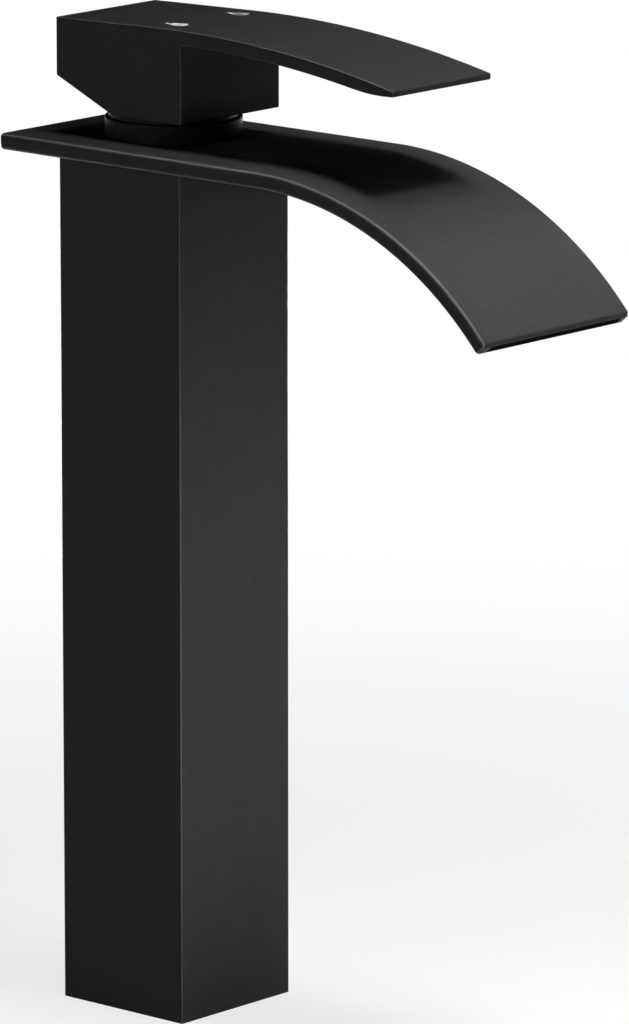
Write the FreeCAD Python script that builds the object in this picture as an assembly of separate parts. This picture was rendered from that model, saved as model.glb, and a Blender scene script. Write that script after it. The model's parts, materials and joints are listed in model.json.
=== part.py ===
import FreeCAD, Part
import math
import os

Vector = FreeCAD.Vector

# A tall single-lever basin mixer. Sizes are in millimetres and angles in degrees.
# The origin is the centre of the column's foot on the deck, +Z is up, and the spout points to -Y.
# "Reach" is a distance forward of the column's axis, so reach = -y.

# Column and its foot
COLUMN_HEIGHT = 270.1
COLUMN_WALL = 3.0
COLUMN_ROOM = 1.9
COLUMN_EDGE_ROUND = 0.6
BASE_GASKET_HEIGHT = 5.0
BASE_GASKET_WIDTH = 3.2
BASE_GASKET_CLEARANCE = 0.2
BRIDGE_WIDTH = 13.0
BRIDGE_HEIGHT = 8.0
STUD_HOLE_RADIUS = 3.4
BRAZE_GAP = 0.05

# Spout plate: flat over the column, then bent down to the outlet edge
SPOUT_WIDTH = 68.0
SPOUT_THICKNESS = 5.25
SPOUT_REAR_REACH = 42.35
SPOUT_FLAT_REACH = 63.4
SPOUT_BEND_RADIUS = 122.25
SPOUT_BEND_ANGLE = 48.8
SPOUT_EDGE_ROUND = 1.5
SPOUT_COVER_THICKNESS = 1.2
SPOUT_FLOOR_THICKNESS = 1.2
SPOUT_SIDE_WALL = 3.5
SPOUT_RIB_COUNT = 5
SPOUT_RIB_WIDTH = 1.2
SPOUT_RIB_ANGLE = 8.0
SPOUT_RIB_SETBACK = 2.5
SPOUT_HOLE_CLEARANCE = 0.35
SPOUT_GASKET_THICKNESS = 1.0
SPOUT_GASKET_CLEARANCE = 0.3

# Valve body, which holds the cartridge and carries the bonnet's thread
CARTRIDGE_DIAMETER = 35.0
CARTRIDGE_CLEARANCE = 0.15
SHOULDER_RISE = 9.05
NECK_WALL = 1.3
NECK_SETBACK = 0.4
CUP_WALL = 2.6
CUP_FLOOR = 19.0
VALVE_FLANGE_HEIGHT = 6.0
HOSE_PORT_EDGE = 2.75
HOSE_PORT_RADIUS = 4.5
HOSE_PORT_DEPTH = 10.0
INLET_SETBACK = 4.6
INLET_RADIUS = 2.6
INLET_DEPTH = 6.0
WINDOW_WIDTH = 9.0
WINDOW_ANGLES = (-45.0, 0.0, 45.0)

# Bonnet, screwed on the valve body's neck to clamp the spout and the cartridge
THREAD_CLEARANCE = 0.05
BONNET_WALL = 1.2
BONNET_FLANGE_WIDTH = 1.2
BONNET_FLANGE_HEIGHT = 6.2
BONNET_LIP = 1.6
BONNET_HOLE_CLEARANCE = 0.3
BONNET_EDGE_ROUND = 0.5
BONNET_GASKET_THICKNESS = 0.8
BONNET_SKIRT_WALL = 0.8

# Cartridge
BASE_HEIGHT = 7.5
BASE_PEG_RADIUS = 1.5
BASE_PEG_LENGTH = 3.0
BASE_PEG_EDGE = 5.5
BASE_PEG_CLEARANCE = 0.15
BASE_RIM_HEIGHT = 2.0
BASE_RIM_WALL = 2.3
SEAL_WIDTH = 2.4
SEAL_SPACING = 2.0
SEAL_HEIGHT = 1.6
SEAL_CLEARANCE = 0.05
DISC_THICKNESS = 4.0
DISC_FILM = 0.05
DISC_END_CLEARANCE = 0.6
DISC_LUG_WIDTH = 3.0
DISC_LUG_DEPTH = 1.5
DISC_FIT = 0.1
HOUSING_WALL = 1.5
HOUSING_SHOULDER = 2.6
HOUSING_UPPER_WALL = 3.1
COLLAR_RISE = 6.6
COLLAR_WALL = 2.4
RING_SECTION_RADIUS = 0.9
RING_DROP = 4.0
RING_FIT = 0.02
RING_SIDE_CLEARANCE = 0.1
STEM_RING_SECTION_RADIUS = 0.8
STEM_RING_FIT = 0.08
CARRIER_HEIGHT = 7.0
CARRIER_TOP_CLEARANCE = 1.45
STEM_CARRIER_FLANGE_CLEARANCE = 0.4
STEM_CARRIER_FLANGE_WIDTH = 1.6
STEM_CARRIER_FLANGE_HEIGHT = 2.5
STEM_CARRIER_SETBACK = 0.4
CHEEK_WIDTH = 2.6
CHEEK_LENGTH = 10.0
STOP_LUG_WIDTH = 3.6
STOP_LUG_DEPTH = 1.5
STOP_CLEARANCE_ANGLE = 1.5
RUNNING_CLEARANCE = 0.06
MOVING_CLEARANCE = 0.3

# Stem and its pivot
LIFT_AXIS_RISE = 3.6
LIFT_ANGLE = 22.0
TEMPERATURE_ANGLE = 45.0
STEM_SIDE = 8.0
STEM_TOP_RISE = 17.0
STEM_SQUARE_DROP = 5.0
STEM_ARM_RADIUS = 2.2
STEM_BALL_RADIUS = 3.2
BALL_SOCKET_FLOOR = 1.65
STEM_SIDE_CLEARANCE = 0.15
PIN_RADIUS = 1.5
PIN_SETBACK = 0.9
PIN_CLEARANCE = 0.05
PIN_SEAT_CLEARANCE = 0.02

# Handle: a hollow block with a long lever
HANDLE_GAP = 1.95
HANDLE_SIDE_ROOM = 0.55
HANDLE_FRONT_ROOM = 0.9
HANDLE_REAR_ROOM = 5.7
HANDLE_REAR_HEIGHT = 28.3
HANDLE_TOP_SLOPE = 1.3
HANDLE_CHAMFER_REACH = 5.2
HANDLE_CHAMFER_MARGIN = 1.5
HANDLE_SIDE_WALL = 1.95
HANDLE_END_WALL = 2.5
HANDLE_ROOF = 4.5
LEVER_ARC_REACH = 12.5
LEVER_ARC_RADIUS = 410.0
LEVER_REACH = 109.1
LEVER_ROOT_THICKNESS = 4.6
LEVER_END_THICKNESS = 4.25
LEVER_TIP_THICKNESS = 1.9
LEVER_SWEEP_LENGTH = 16.0
LEVER_SWEEP_DIP = 0.46
LEVER_ROOT_ROUND = 1.0
HANDLE_EDGE_ROUND = 0.5
SOCKET_CLEARANCE = 0.05
SOCKET_BOSS_RADIUS = 7.5
SOCKET_BOSS_RISE = 7.0
SCREW_RADIUS = 2.5
SCREW_LENGTH = 10.0
SCREW_RISE = 13.5
SCREW_CLEARANCE = 0.05
SCREW_BOSS_RADIUS = 4.2
SCREW_KEY_WIDTH = 2.5
SCREW_KEY_DEPTH = 3.0
SCREW_KEY_SIDES = 6
CAP_RADIUS = 3.4
CAP_LENGTH = 2.5
CAP_CLEARANCE = 0.05
MARK_OFFSET = 14.0
MARK_REACH = 15.5
MARK_RADIUS = 2.6
MARK_TIP = 6.0
MARK_LINE_WIDTH = 0.9
MARK_DEPTH = 0.4

# How far a cutting tool runs past the face that it cuts, and how closely an edge is picked out
CUT_MARGIN = 1.0
EDGE_TOLERANCE = 0.01

# Radii, from the cartridge inwards and outwards
CARTRIDGE_RADIUS = CARTRIDGE_DIAMETER / 2
CHAMBER_RADIUS = CARTRIDGE_RADIUS - HOUSING_WALL
FIXED_DISC_RADIUS = CHAMBER_RADIUS - BASE_RIM_WALL - 2 * DISC_FIT
HOUSING_UPPER_RADIUS = CARTRIDGE_RADIUS - HOUSING_UPPER_WALL
STEM_CARRIER_FLANGE_RADIUS = HOUSING_UPPER_RADIUS - STEM_CARRIER_FLANGE_CLEARANCE
STEM_CARRIER_RADIUS = STEM_CARRIER_FLANGE_RADIUS - STEM_CARRIER_FLANGE_WIDTH
CARRIER_FLAT_HALF_WIDTH = STEM_CARRIER_RADIUS - CHEEK_WIDTH - MOVING_CLEARANCE
COLLAR_BORE_RADIUS = STEM_CARRIER_RADIUS + RUNNING_CLEARANCE
COLLAR_RADIUS = COLLAR_BORE_RADIUS + COLLAR_WALL
SEAL_RADIUS = INLET_RADIUS + SEAL_WIDTH
INLET_OFFSET = SEAL_RADIUS + SEAL_SPACING / 2
SOCKET_RADIUS = CARTRIDGE_RADIUS + CARTRIDGE_CLEARANCE
CUP_RADIUS = SOCKET_RADIUS + CUP_WALL
HOSE_PORT_OFFSET = CUP_RADIUS - HOSE_PORT_EDGE - HOSE_PORT_RADIUS
NECK_RADIUS = SOCKET_RADIUS + NECK_WALL
BONNET_BORE_RADIUS = NECK_RADIUS + THREAD_CLEARANCE
BONNET_RADIUS = BONNET_BORE_RADIUS + BONNET_WALL
BONNET_FLANGE_RADIUS = BONNET_RADIUS + BONNET_FLANGE_WIDTH
COLUMN_INNER_HALF = CUP_RADIUS + COLUMN_ROOM
COLUMN_HALF = COLUMN_INNER_HALF + COLUMN_WALL
HANDLE_HALF = BONNET_RADIUS + HANDLE_SIDE_ROOM + HANDLE_SIDE_WALL
HANDLE_FRONT_REACH = BONNET_RADIUS + HANDLE_FRONT_ROOM + HANDLE_END_WALL
HANDLE_REAR_REACH = BONNET_RADIUS + HANDLE_REAR_ROOM + HANDLE_END_WALL

# Heights, from the column's top upwards, then down through the cartridge from its shoulder
FLANGE_TOP = COLUMN_HEIGHT - SPOUT_GASKET_THICKNESS
WATERWAY_LOW = COLUMN_HEIGHT + SPOUT_FLOOR_THICKNESS
SPOUT_TOP = COLUMN_HEIGHT + SPOUT_THICKNESS
WATERWAY_HIGH = SPOUT_TOP - SPOUT_COVER_THICKNESS
BONNET_FLANGE_TOP = SPOUT_TOP + BONNET_FLANGE_HEIGHT
SHOULDER = SPOUT_TOP + SHOULDER_RISE
NECK_TOP = SHOULDER - NECK_SETBACK
BONNET_TOP = SHOULDER + BONNET_LIP
COLLAR_TOP = SHOULDER + COLLAR_RISE
LIFT_AXIS = SHOULDER + LIFT_AXIS_RISE
SCREW_AXIS = LIFT_AXIS + SCREW_RISE
HANDLE_LOW = BONNET_FLANGE_TOP + HANDLE_GAP
CEILING = SHOULDER - HOUSING_SHOULDER
STEM_FLANGE_TOP = CEILING - MOVING_CLEARANCE
STEM_FLANGE_LOW = STEM_FLANGE_TOP - STEM_CARRIER_FLANGE_HEIGHT
CARRIER_TOP = STEM_FLANGE_LOW - CARRIER_TOP_CLEARANCE
MOVING_DISC_TOP = CARRIER_TOP - CARRIER_HEIGHT
MOVING_DISC_LOW = MOVING_DISC_TOP - DISC_THICKNESS
FIXED_DISC_TOP = MOVING_DISC_LOW - DISC_FILM
BASE_TOP = FIXED_DISC_TOP - DISC_THICKNESS
BASE_RIM_TOP = BASE_TOP + BASE_RIM_HEIGHT
SEAT = BASE_TOP - BASE_HEIGHT
VALVE_BOTTOM = SEAT - CUP_FLOOR

# The stem's lower arm, which sets how far the moving disc slides, and so how large it can be
BALL_HEIGHT = MOVING_DISC_TOP + BALL_SOCKET_FLOOR + MOVING_CLEARANCE + STEM_BALL_RADIUS
DISC_TRAVEL = (LIFT_AXIS - BALL_HEIGHT) * math.sin(math.radians(LIFT_ANGLE))
MOVING_DISC_RADIUS = CHAMBER_RADIUS - DISC_TRAVEL - DISC_END_CLEARANCE


def at(reach, height, x=0.0):
    """A point given by its reach forward of the column's axis, its height and its side offset."""
    return Vector(x, -reach, height)


def drum(radius, low, high, x=0.0, reach=0.0):
    """An upright cylinder between two heights."""
    return Part.makeCylinder(radius, high - low, at(reach, low, x))


def ring(outer, inner, low, high, x=0.0, reach=0.0):
    """An upright tube between two heights."""
    bore = drum(inner, low - CUT_MARGIN, high + CUT_MARGIN, x, reach)
    return drum(outer, low, high, x, reach).cut(bore)


def block(x_low, x_high, reach_low, reach_high, low, high):
    """A box between two side offsets, two reaches and two heights."""
    return Part.makeBox(x_high - x_low, reach_high - reach_low, high - low, at(reach_high, low, x_low))


def rod(radius, start, end):
    """A cylinder from one point to another."""
    return Part.makeCylinder(radius, (end - start).Length, start, end - start)


def o_ring(radius, section, height):
    """A ring of round section about the column's axis."""
    return Part.makeTorus(radius, section, at(0.0, height))


def joined(shapes):
    """One solid from shapes that overlap or meet."""
    return shapes[0].multiFuse(shapes[1:]).removeSplitter()


def side_prism(segments, x_low, x_high):
    """A side outline of (reach, height) lines and three-point arcs, carried across in X."""
    edges = []
    for points in segments:
        corners = [at(reach, height, x_low) for reach, height in points]
        curve = Part.LineSegment(*corners) if len(corners) == 2 else Part.Arc(*corners)
        edges.append(curve.toShape())
    return Part.Face(Part.Wire(edges)).extrude(Vector(x_high - x_low, 0, 0))


def inlet_places():
    """The (x, reach) places of the cartridge's hot and cold inlets."""
    return [(side * INLET_OFFSET, -INLET_SETBACK) for side in (-1, 1)]


def pegs(radius, low, high):
    """The two upright pegs, in front of and behind the axis, that locate the cartridge's foot."""
    reach = CARTRIDGE_RADIUS - BASE_PEG_EDGE
    return [drum(radius, low, high, 0.0, place) for place in (-reach, reach)]


def windows():
    """Cutters for the openings that lead mixed water forward into the spout's waterway."""
    cutters = []
    for angle in WINDOW_ANGLES:
        cutter = block(-WINDOW_WIDTH / 2, WINDOW_WIDTH / 2, HOUSING_UPPER_RADIUS, BONNET_FLANGE_RADIUS,
                       WATERWAY_LOW, WATERWAY_HIGH)
        cutters.append(cutter.rotate(Vector(), Vector(0, 0, 1), angle))
    return cutters


def disc_lugs(radius, low, high, fit):
    """Two small lugs, at a disc's front and rear, that keep it from turning."""
    half = DISC_LUG_WIDTH / 2 + fit
    inner = radius - DISC_LUG_DEPTH - fit
    outer = radius + CUT_MARGIN
    return [block(-half, half, inner, outer, low, high), block(-half, half, -outer, -inner, low, high)]


def column():
    """The square tube, open at both ends, with its long outer edges eased."""
    tube = block(-COLUMN_HALF, COLUMN_HALF, -COLUMN_HALF, COLUMN_HALF, 0.0, COLUMN_HEIGHT)
    long_edges = [edge for edge in tube.Edges if abs(edge.Length - COLUMN_HEIGHT) < EDGE_TOLERANCE]
    tube = tube.makeFillet(COLUMN_EDGE_ROUND, long_edges)
    inner = COLUMN_INNER_HALF
    return tube.cut(block(-inner, inner, -inner, inner, -CUT_MARGIN, COLUMN_HEIGHT + CUT_MARGIN))


def base_bridge():
    """The bar across the column's foot, tapped for the fixing stud, with a hose gap at each side."""
    reach = COLUMN_INNER_HALF - BRAZE_GAP
    low = BASE_GASKET_HEIGHT
    high = low + BRIDGE_HEIGHT
    bar = block(-BRIDGE_WIDTH / 2, BRIDGE_WIDTH / 2, -reach, reach, low, high)
    return bar.cut(drum(STUD_HOLE_RADIUS, low - CUT_MARGIN, high + CUT_MARGIN))


def base_gasket():
    """The square seal inside the foot, flush with it, that closes the joint with the deck."""
    outer = COLUMN_INNER_HALF - BASE_GASKET_CLEARANCE
    inner = outer - BASE_GASKET_WIDTH
    frame = block(-outer, outer, -outer, outer, 0.0, BASE_GASKET_HEIGHT)
    return frame.cut(block(-inner, inner, -inner, inner, -CUT_MARGIN, BASE_GASKET_HEIGHT + CUT_MARGIN))


def on_bend(depth, angle):
    """The (reach, height) of a point on the spout's bend, at a depth below its top face."""
    radius = SPOUT_BEND_RADIUS - depth
    turn = math.radians(angle)
    return (SPOUT_FLAT_REACH + radius * math.sin(turn),
            SPOUT_TOP - SPOUT_BEND_RADIUS + radius * math.cos(turn))


def bend_band(rear, upper, lower, angle):
    """The side outline of a band that runs flat from the rear, then round the bend to an angle."""
    flat_upper = (SPOUT_FLAT_REACH, SPOUT_TOP - upper)
    flat_lower = (SPOUT_FLAT_REACH, SPOUT_TOP - lower)
    rear_upper = (rear, SPOUT_TOP - upper)
    rear_lower = (rear, SPOUT_TOP - lower)
    return [(rear_upper, flat_upper),
            (flat_upper, on_bend(upper, angle / 2), on_bend(upper, angle)),
            (on_bend(upper, angle), on_bend(lower, angle)),
            (on_bend(lower, angle), on_bend(lower, angle / 2), flat_lower),
            (flat_lower, rear_lower),
            (rear_lower, rear_upper)]


def spout_blank():
    """The whole spout plate, with eased edges and the hole for the valve body's neck."""
    half = SPOUT_WIDTH / 2
    plate = side_prism(bend_band(-SPOUT_REAR_REACH, 0.0, SPOUT_THICKNESS, SPOUT_BEND_ANGLE), -half, half)
    plate = plate.makeFillet(SPOUT_EDGE_ROUND, plate.Edges)
    hole = NECK_RADIUS + SPOUT_HOLE_CLEARANCE
    return plate.cut(drum(hole, COLUMN_HEIGHT - CUT_MARGIN, SPOUT_TOP + CUT_MARGIN))


def cover_space():
    """The slab of space that the spout's cover takes from the whole plate."""
    half = SPOUT_WIDTH / 2 + CUT_MARGIN
    outline = bend_band(-SPOUT_REAR_REACH - CUT_MARGIN, -CUT_MARGIN, SPOUT_COVER_THICKNESS,
                        SPOUT_BEND_ANGLE + CUT_MARGIN)
    return side_prism(outline, -half, half)


def spout_cover():
    """The top skin of the spout, brazed over the waterway."""
    return spout_blank().common(cover_space())


def spout_tray():
    """The spout's lower part: floor, side walls, the flat waterway and the ribs near the outlet."""
    waterway_half = SPOUT_WIDTH / 2 - SPOUT_SIDE_WALL
    upper = SPOUT_COVER_THICKNESS
    lower = SPOUT_THICKNESS - SPOUT_FLOOR_THICKNESS
    waterway = side_prism(bend_band(0.0, upper, lower, SPOUT_BEND_ANGLE + CUT_MARGIN),
                          -waterway_half, waterway_half)
    rib_end = SPOUT_BEND_ANGLE - SPOUT_RIB_SETBACK
    rib_start = rib_end - SPOUT_RIB_ANGLE
    rib_middle = (rib_start + rib_end) / 2
    outline = [(on_bend(upper, rib_start), on_bend(upper, rib_middle), on_bend(upper, rib_end)),
               (on_bend(upper, rib_end), on_bend(lower, rib_end)),
               (on_bend(lower, rib_end), on_bend(lower, rib_middle), on_bend(lower, rib_start)),
               (on_bend(lower, rib_start), on_bend(upper, rib_start))]
    pitch = 2 * waterway_half / (SPOUT_RIB_COUNT + 1)
    for index in range(SPOUT_RIB_COUNT):
        x = (index + 1) * pitch - waterway_half
        waterway = waterway.cut(side_prism(outline, x - SPOUT_RIB_WIDTH / 2, x + SPOUT_RIB_WIDTH / 2))
    return spout_blank().cut(cover_space()).cut(waterway)


def spout_gasket():
    """The sheet seal between the valve body's flange and the spout plate."""
    half = COLUMN_INNER_HALF - SPOUT_GASKET_CLEARANCE
    sheet = block(-half, half, -half, half, FLANGE_TOP, COLUMN_HEIGHT)
    hole = NECK_RADIUS + SPOUT_GASKET_CLEARANCE
    return sheet.cut(drum(hole, FLANGE_TOP - CUT_MARGIN, COLUMN_HEIGHT + CUT_MARGIN))


def valve_body():
    """The casting in the column's mouth: flange, cartridge cup, neck and the two hose ports."""
    half = COLUMN_INNER_HALF - BRAZE_GAP
    cup = drum(CUP_RADIUS, VALVE_BOTTOM, FLANGE_TOP)
    flange = block(-half, half, -half, half, FLANGE_TOP - VALVE_FLANGE_HEIGHT, FLANGE_TOP)
    neck = drum(NECK_RADIUS, FLANGE_TOP - CUT_MARGIN, NECK_TOP)
    cutters = [drum(SOCKET_RADIUS, SEAT, NECK_TOP + CUT_MARGIN)] + windows()
    for x, reach in inlet_places():
        port_x = math.copysign(HOSE_PORT_OFFSET, x)
        knee = at(reach, SEAT - INLET_DEPTH, x)
        port_roof = VALVE_BOTTOM + HOSE_PORT_DEPTH
        cutters += [drum(HOSE_PORT_RADIUS, VALVE_BOTTOM - CUT_MARGIN, port_roof, port_x, reach),
                    drum(INLET_RADIUS, SEAT - INLET_DEPTH, SEAT + CUT_MARGIN, x, reach),
                    Part.makeSphere(INLET_RADIUS, knee),
                    rod(INLET_RADIUS, knee, at(reach, port_roof - INLET_RADIUS, port_x))]
    peg_floor = SEAT - BASE_PEG_LENGTH - BASE_PEG_CLEARANCE
    cutters += pegs(BASE_PEG_RADIUS + BASE_PEG_CLEARANCE, peg_floor, SEAT + CUT_MARGIN)
    return joined([cup, flange, neck]).cut(cutters)


def bonnet():
    """The round cap on the valve body's neck: a flange on the spout, a barrel and an inner lip."""
    flange = drum(BONNET_FLANGE_RADIUS, SPOUT_TOP, BONNET_FLANGE_TOP)
    rim = [edge for edge in flange.Edges if edge.BoundBox.ZMin > BONNET_FLANGE_TOP - EDGE_TOLERANCE]
    flange = flange.makeFillet(BONNET_EDGE_ROUND, rim)
    cap = joined([flange, drum(BONNET_RADIUS, SPOUT_TOP, BONNET_TOP)])
    skirt = BONNET_FLANGE_RADIUS - BONNET_SKIRT_WALL
    hole = COLLAR_RADIUS + BONNET_HOLE_CLEARANCE
    return cap.cut([drum(BONNET_BORE_RADIUS, SPOUT_TOP - CUT_MARGIN, SHOULDER),
                    drum(skirt, SPOUT_TOP - CUT_MARGIN, SPOUT_TOP + BONNET_GASKET_THICKNESS),
                    drum(hole, SHOULDER - CUT_MARGIN, BONNET_TOP + CUT_MARGIN)])


def bonnet_gasket():
    """The flat seal between the bonnet and the spout plate."""
    outer = BONNET_FLANGE_RADIUS - BONNET_SKIRT_WALL - SEAL_CLEARANCE
    return ring(outer, BONNET_BORE_RADIUS, SPOUT_TOP, SPOUT_TOP + BONNET_GASKET_THICKNESS)


def cartridge_base():
    """The cartridge's foot: two inlets, recesses for their seals, locating pegs and the disc's seat."""
    rim_radius = CHAMBER_RADIUS - DISC_FIT
    rim = ring(rim_radius, FIXED_DISC_RADIUS + DISC_FIT, BASE_TOP, BASE_RIM_TOP)
    lug_space = drum(rim_radius, BASE_TOP, BASE_RIM_TOP)
    lugs = [lug.common(lug_space) for lug in disc_lugs(FIXED_DISC_RADIUS, BASE_TOP, BASE_RIM_TOP, 0.0)]
    foot = joined([drum(CARTRIDGE_RADIUS, SEAT, BASE_TOP), rim] + lugs
                  + pegs(BASE_PEG_RADIUS, SEAT - BASE_PEG_LENGTH, BASE_TOP))
    cutters = []
    for x, reach in inlet_places():
        cutters += [drum(INLET_RADIUS, SEAT - CUT_MARGIN, BASE_TOP + CUT_MARGIN, x, reach),
                    drum(SEAL_RADIUS + SEAL_CLEARANCE, SEAT - CUT_MARGIN, SEAT + SEAL_HEIGHT, x, reach)]
    return foot.cut(cutters)


def inlet_seals():
    """The two ring seals between the cartridge's foot and the valve body's floor."""
    return Part.makeCompound([ring(SEAL_RADIUS, INLET_RADIUS, SEAT, SEAT + SEAL_HEIGHT, x, reach)
                              for x, reach in inlet_places()])


def fixed_disc():
    """The ceramic disc that holds still, with the hot and cold ports."""
    plate = drum(FIXED_DISC_RADIUS, BASE_TOP, FIXED_DISC_TOP)
    ports = [drum(INLET_RADIUS, BASE_TOP - CUT_MARGIN, FIXED_DISC_TOP + CUT_MARGIN, x, reach)
             for x, reach in inlet_places()]
    notches = disc_lugs(FIXED_DISC_RADIUS, BASE_TOP - CUT_MARGIN, BASE_RIM_TOP + DISC_FIT, DISC_FIT)
    return plate.cut(ports + notches)


def moving_disc():
    """The ceramic disc that slides over the ports to open them."""
    plate = drum(MOVING_DISC_RADIUS, MOVING_DISC_LOW, MOVING_DISC_TOP)
    notch_low = MOVING_DISC_TOP - BASE_RIM_HEIGHT - DISC_FIT
    return plate.cut(disc_lugs(MOVING_DISC_RADIUS, notch_low, MOVING_DISC_TOP + CUT_MARGIN, DISC_FIT))


def disc_carrier():
    """The slide on the moving disc: guide flats at its sides and a socket for the stem's ball."""
    radius = MOVING_DISC_RADIUS
    flat = CARRIER_FLAT_HALF_WIDTH
    slide = drum(radius, MOVING_DISC_TOP, CARRIER_TOP)
    slide = slide.common(block(-flat, flat, -radius, radius, MOVING_DISC_TOP, CARRIER_TOP))
    lug_low = MOVING_DISC_TOP - BASE_RIM_HEIGHT
    lug_space = drum(radius, lug_low, CARRIER_TOP)
    lugs = [lug.common(lug_space) for lug in disc_lugs(radius, lug_low, CARRIER_TOP, 0.0)]
    socket_floor = MOVING_DISC_TOP + BALL_SOCKET_FLOOR
    socket = drum(STEM_BALL_RADIUS + MOVING_CLEARANCE, socket_floor, CARRIER_TOP + CUT_MARGIN)
    return joined([slide] + lugs).cut(socket)


def cartridge_housing():
    """The cartridge's shell: disc chamber, side windows, turning stop, shoulder and collar."""
    shell = joined([drum(CARTRIDGE_RADIUS, BASE_TOP, SHOULDER), drum(COLLAR_RADIUS, SHOULDER, COLLAR_TOP)])
    chamber_top = STEM_FLANGE_LOW - MOVING_CLEARANCE
    groove = ring_groove(CARTRIDGE_RADIUS, housing_ring_radius(), RING_SECTION_RADIUS, SHOULDER - RING_DROP)
    shell = shell.cut([drum(CHAMBER_RADIUS, BASE_TOP - CUT_MARGIN, chamber_top),
                       drum(HOUSING_UPPER_RADIUS, chamber_top - CUT_MARGIN, CEILING),
                       drum(COLLAR_BORE_RADIUS, CEILING - CUT_MARGIN, COLLAR_TOP + CUT_MARGIN),
                       groove] + windows())
    half = STOP_LUG_WIDTH / 2
    root = -HOUSING_UPPER_RADIUS - HOUSING_WALL / 2
    tip = -HOUSING_UPPER_RADIUS + STOP_LUG_DEPTH
    lug = block(-half, half, root, tip, STEM_FLANGE_LOW, CEILING + HOUSING_WALL)
    return joined([shell, lug])


def ring_groove(outer, radius, section, height):
    """The cutter for an O-ring's groove in a piece of the given outer radius."""
    half = section + RING_SIDE_CLEARANCE
    return ring(outer + CUT_MARGIN, radius - section - RING_FIT, height - half, height + half)


def housing_ring_radius():
    """The housing O-ring's radius at the middle of its section, where it just fills the socket."""
    return SOCKET_RADIUS - RING_SECTION_RADIUS - RING_FIT


def stem_ring_radius():
    """The stem O-ring's radius at the middle of its section, where it just fills the collar."""
    return COLLAR_BORE_RADIUS - STEM_RING_SECTION_RADIUS - STEM_RING_FIT


def stem_carrier():
    """The turning block in the collar: stop sector, guide cheeks, a slot for the stem and pin holes."""
    flange = drum(STEM_CARRIER_FLANGE_RADIUS, STEM_FLANGE_LOW, STEM_FLANGE_TOP)
    lug_reach = HOUSING_UPPER_RADIUS - STOP_LUG_DEPTH
    lug_angle = math.degrees(math.asin(STOP_LUG_WIDTH / 2 / lug_reach))
    sector = math.radians(TEMPERATURE_ANGLE + lug_angle + STOP_CLEARANCE_ANGLE)
    wedge_low = STEM_FLANGE_LOW - CUT_MARGIN
    wedge_reach = -CARTRIDGE_DIAMETER * math.cos(sector)
    wedge_half = CARTRIDGE_DIAMETER * math.sin(sector)
    corners = [at(0.0, wedge_low), at(wedge_reach, wedge_low, -wedge_half),
               at(wedge_reach, wedge_low, wedge_half)]
    wedge = Part.Face(Part.makePolygon(corners + corners[:1]))
    flange = flange.cut(wedge.extrude(Vector(0, 0, STEM_CARRIER_FLANGE_HEIGHT + 2 * CUT_MARGIN)))
    top = COLLAR_TOP - STEM_CARRIER_SETBACK
    neck = drum(STEM_CARRIER_RADIUS, STEM_FLANGE_LOW, top)
    cheek_inner = CARRIER_FLAT_HALF_WIDTH + MOVING_CLEARANCE
    cheek_low = MOVING_DISC_TOP + MOVING_CLEARANCE
    cheeks = [block(x, x + CHEEK_WIDTH, -CHEEK_LENGTH / 2, CHEEK_LENGTH / 2, cheek_low, STEM_FLANGE_TOP)
              for x in (cheek_inner, -cheek_inner - CHEEK_WIDTH)]
    turner = joined([neck, flange] + cheeks)
    groove = ring_groove(STEM_CARRIER_RADIUS, stem_ring_radius(), STEM_RING_SECTION_RADIUS, SHOULDER)
    pin_hole = rod(PIN_RADIUS + PIN_SEAT_CLEARANCE, at(0.0, LIFT_AXIS, -STEM_CARRIER_FLANGE_RADIUS),
                   at(0.0, LIFT_AXIS, STEM_CARRIER_FLANGE_RADIUS))
    return turner.cut([groove, pin_hole, stem_slot(top)])


def stem_slot(top):
    """The slot in the stem carrier that lets the stem tilt from rest to full lift."""
    tilt = math.radians(LIFT_ANGLE)
    half = STEM_SIDE / 2
    rear = half / math.cos(tilt) + (top - LIFT_AXIS) * math.tan(tilt) + MOVING_CLEARANCE
    corner = half * math.cos(tilt) + STEM_SQUARE_DROP * math.sin(tilt)
    front = max(corner, DISC_TRAVEL + STEM_BALL_RADIUS) + MOVING_CLEARANCE
    side = half + STEM_SIDE_CLEARANCE
    return block(-side, side, -rear, front, MOVING_DISC_TOP, top + CUT_MARGIN)


def pivot_pin():
    """The cross pin that the stem tilts on."""
    half = STEM_CARRIER_RADIUS - PIN_SETBACK
    return rod(PIN_RADIUS, at(0.0, LIFT_AXIS, -half), at(0.0, LIFT_AXIS, half))


def cartridge_stem():
    """The lever's spindle: a square bar with a cross hole, an arm below it and a ball at its end."""
    half = STEM_SIDE / 2
    bar_low = LIFT_AXIS - STEM_SQUARE_DROP
    bar = block(-half, half, -half, half, bar_low, LIFT_AXIS + STEM_TOP_RISE)
    arm = drum(STEM_ARM_RADIUS, BALL_HEIGHT, bar_low + CUT_MARGIN)
    ball = Part.makeSphere(STEM_BALL_RADIUS, at(0.0, BALL_HEIGHT))
    pin_hole = rod(PIN_RADIUS + PIN_CLEARANCE, at(0.0, LIFT_AXIS, -STEM_SIDE), at(0.0, LIFT_AXIS, STEM_SIDE))
    return joined([bar, arm, ball]).cut(pin_hole)


def lever_centre():
    """The (reach, height) centre of the arc along the top of the lever, tangent to the block's top."""
    slope = math.radians(HANDLE_TOP_SLOPE)
    rise = (HANDLE_REAR_REACH + LEVER_ARC_REACH) * math.tan(slope)
    start = HANDLE_LOW + HANDLE_REAR_HEIGHT + rise
    return (LEVER_ARC_REACH + LEVER_ARC_RADIUS * math.sin(slope),
            start - LEVER_ARC_RADIUS * math.cos(slope))


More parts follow.
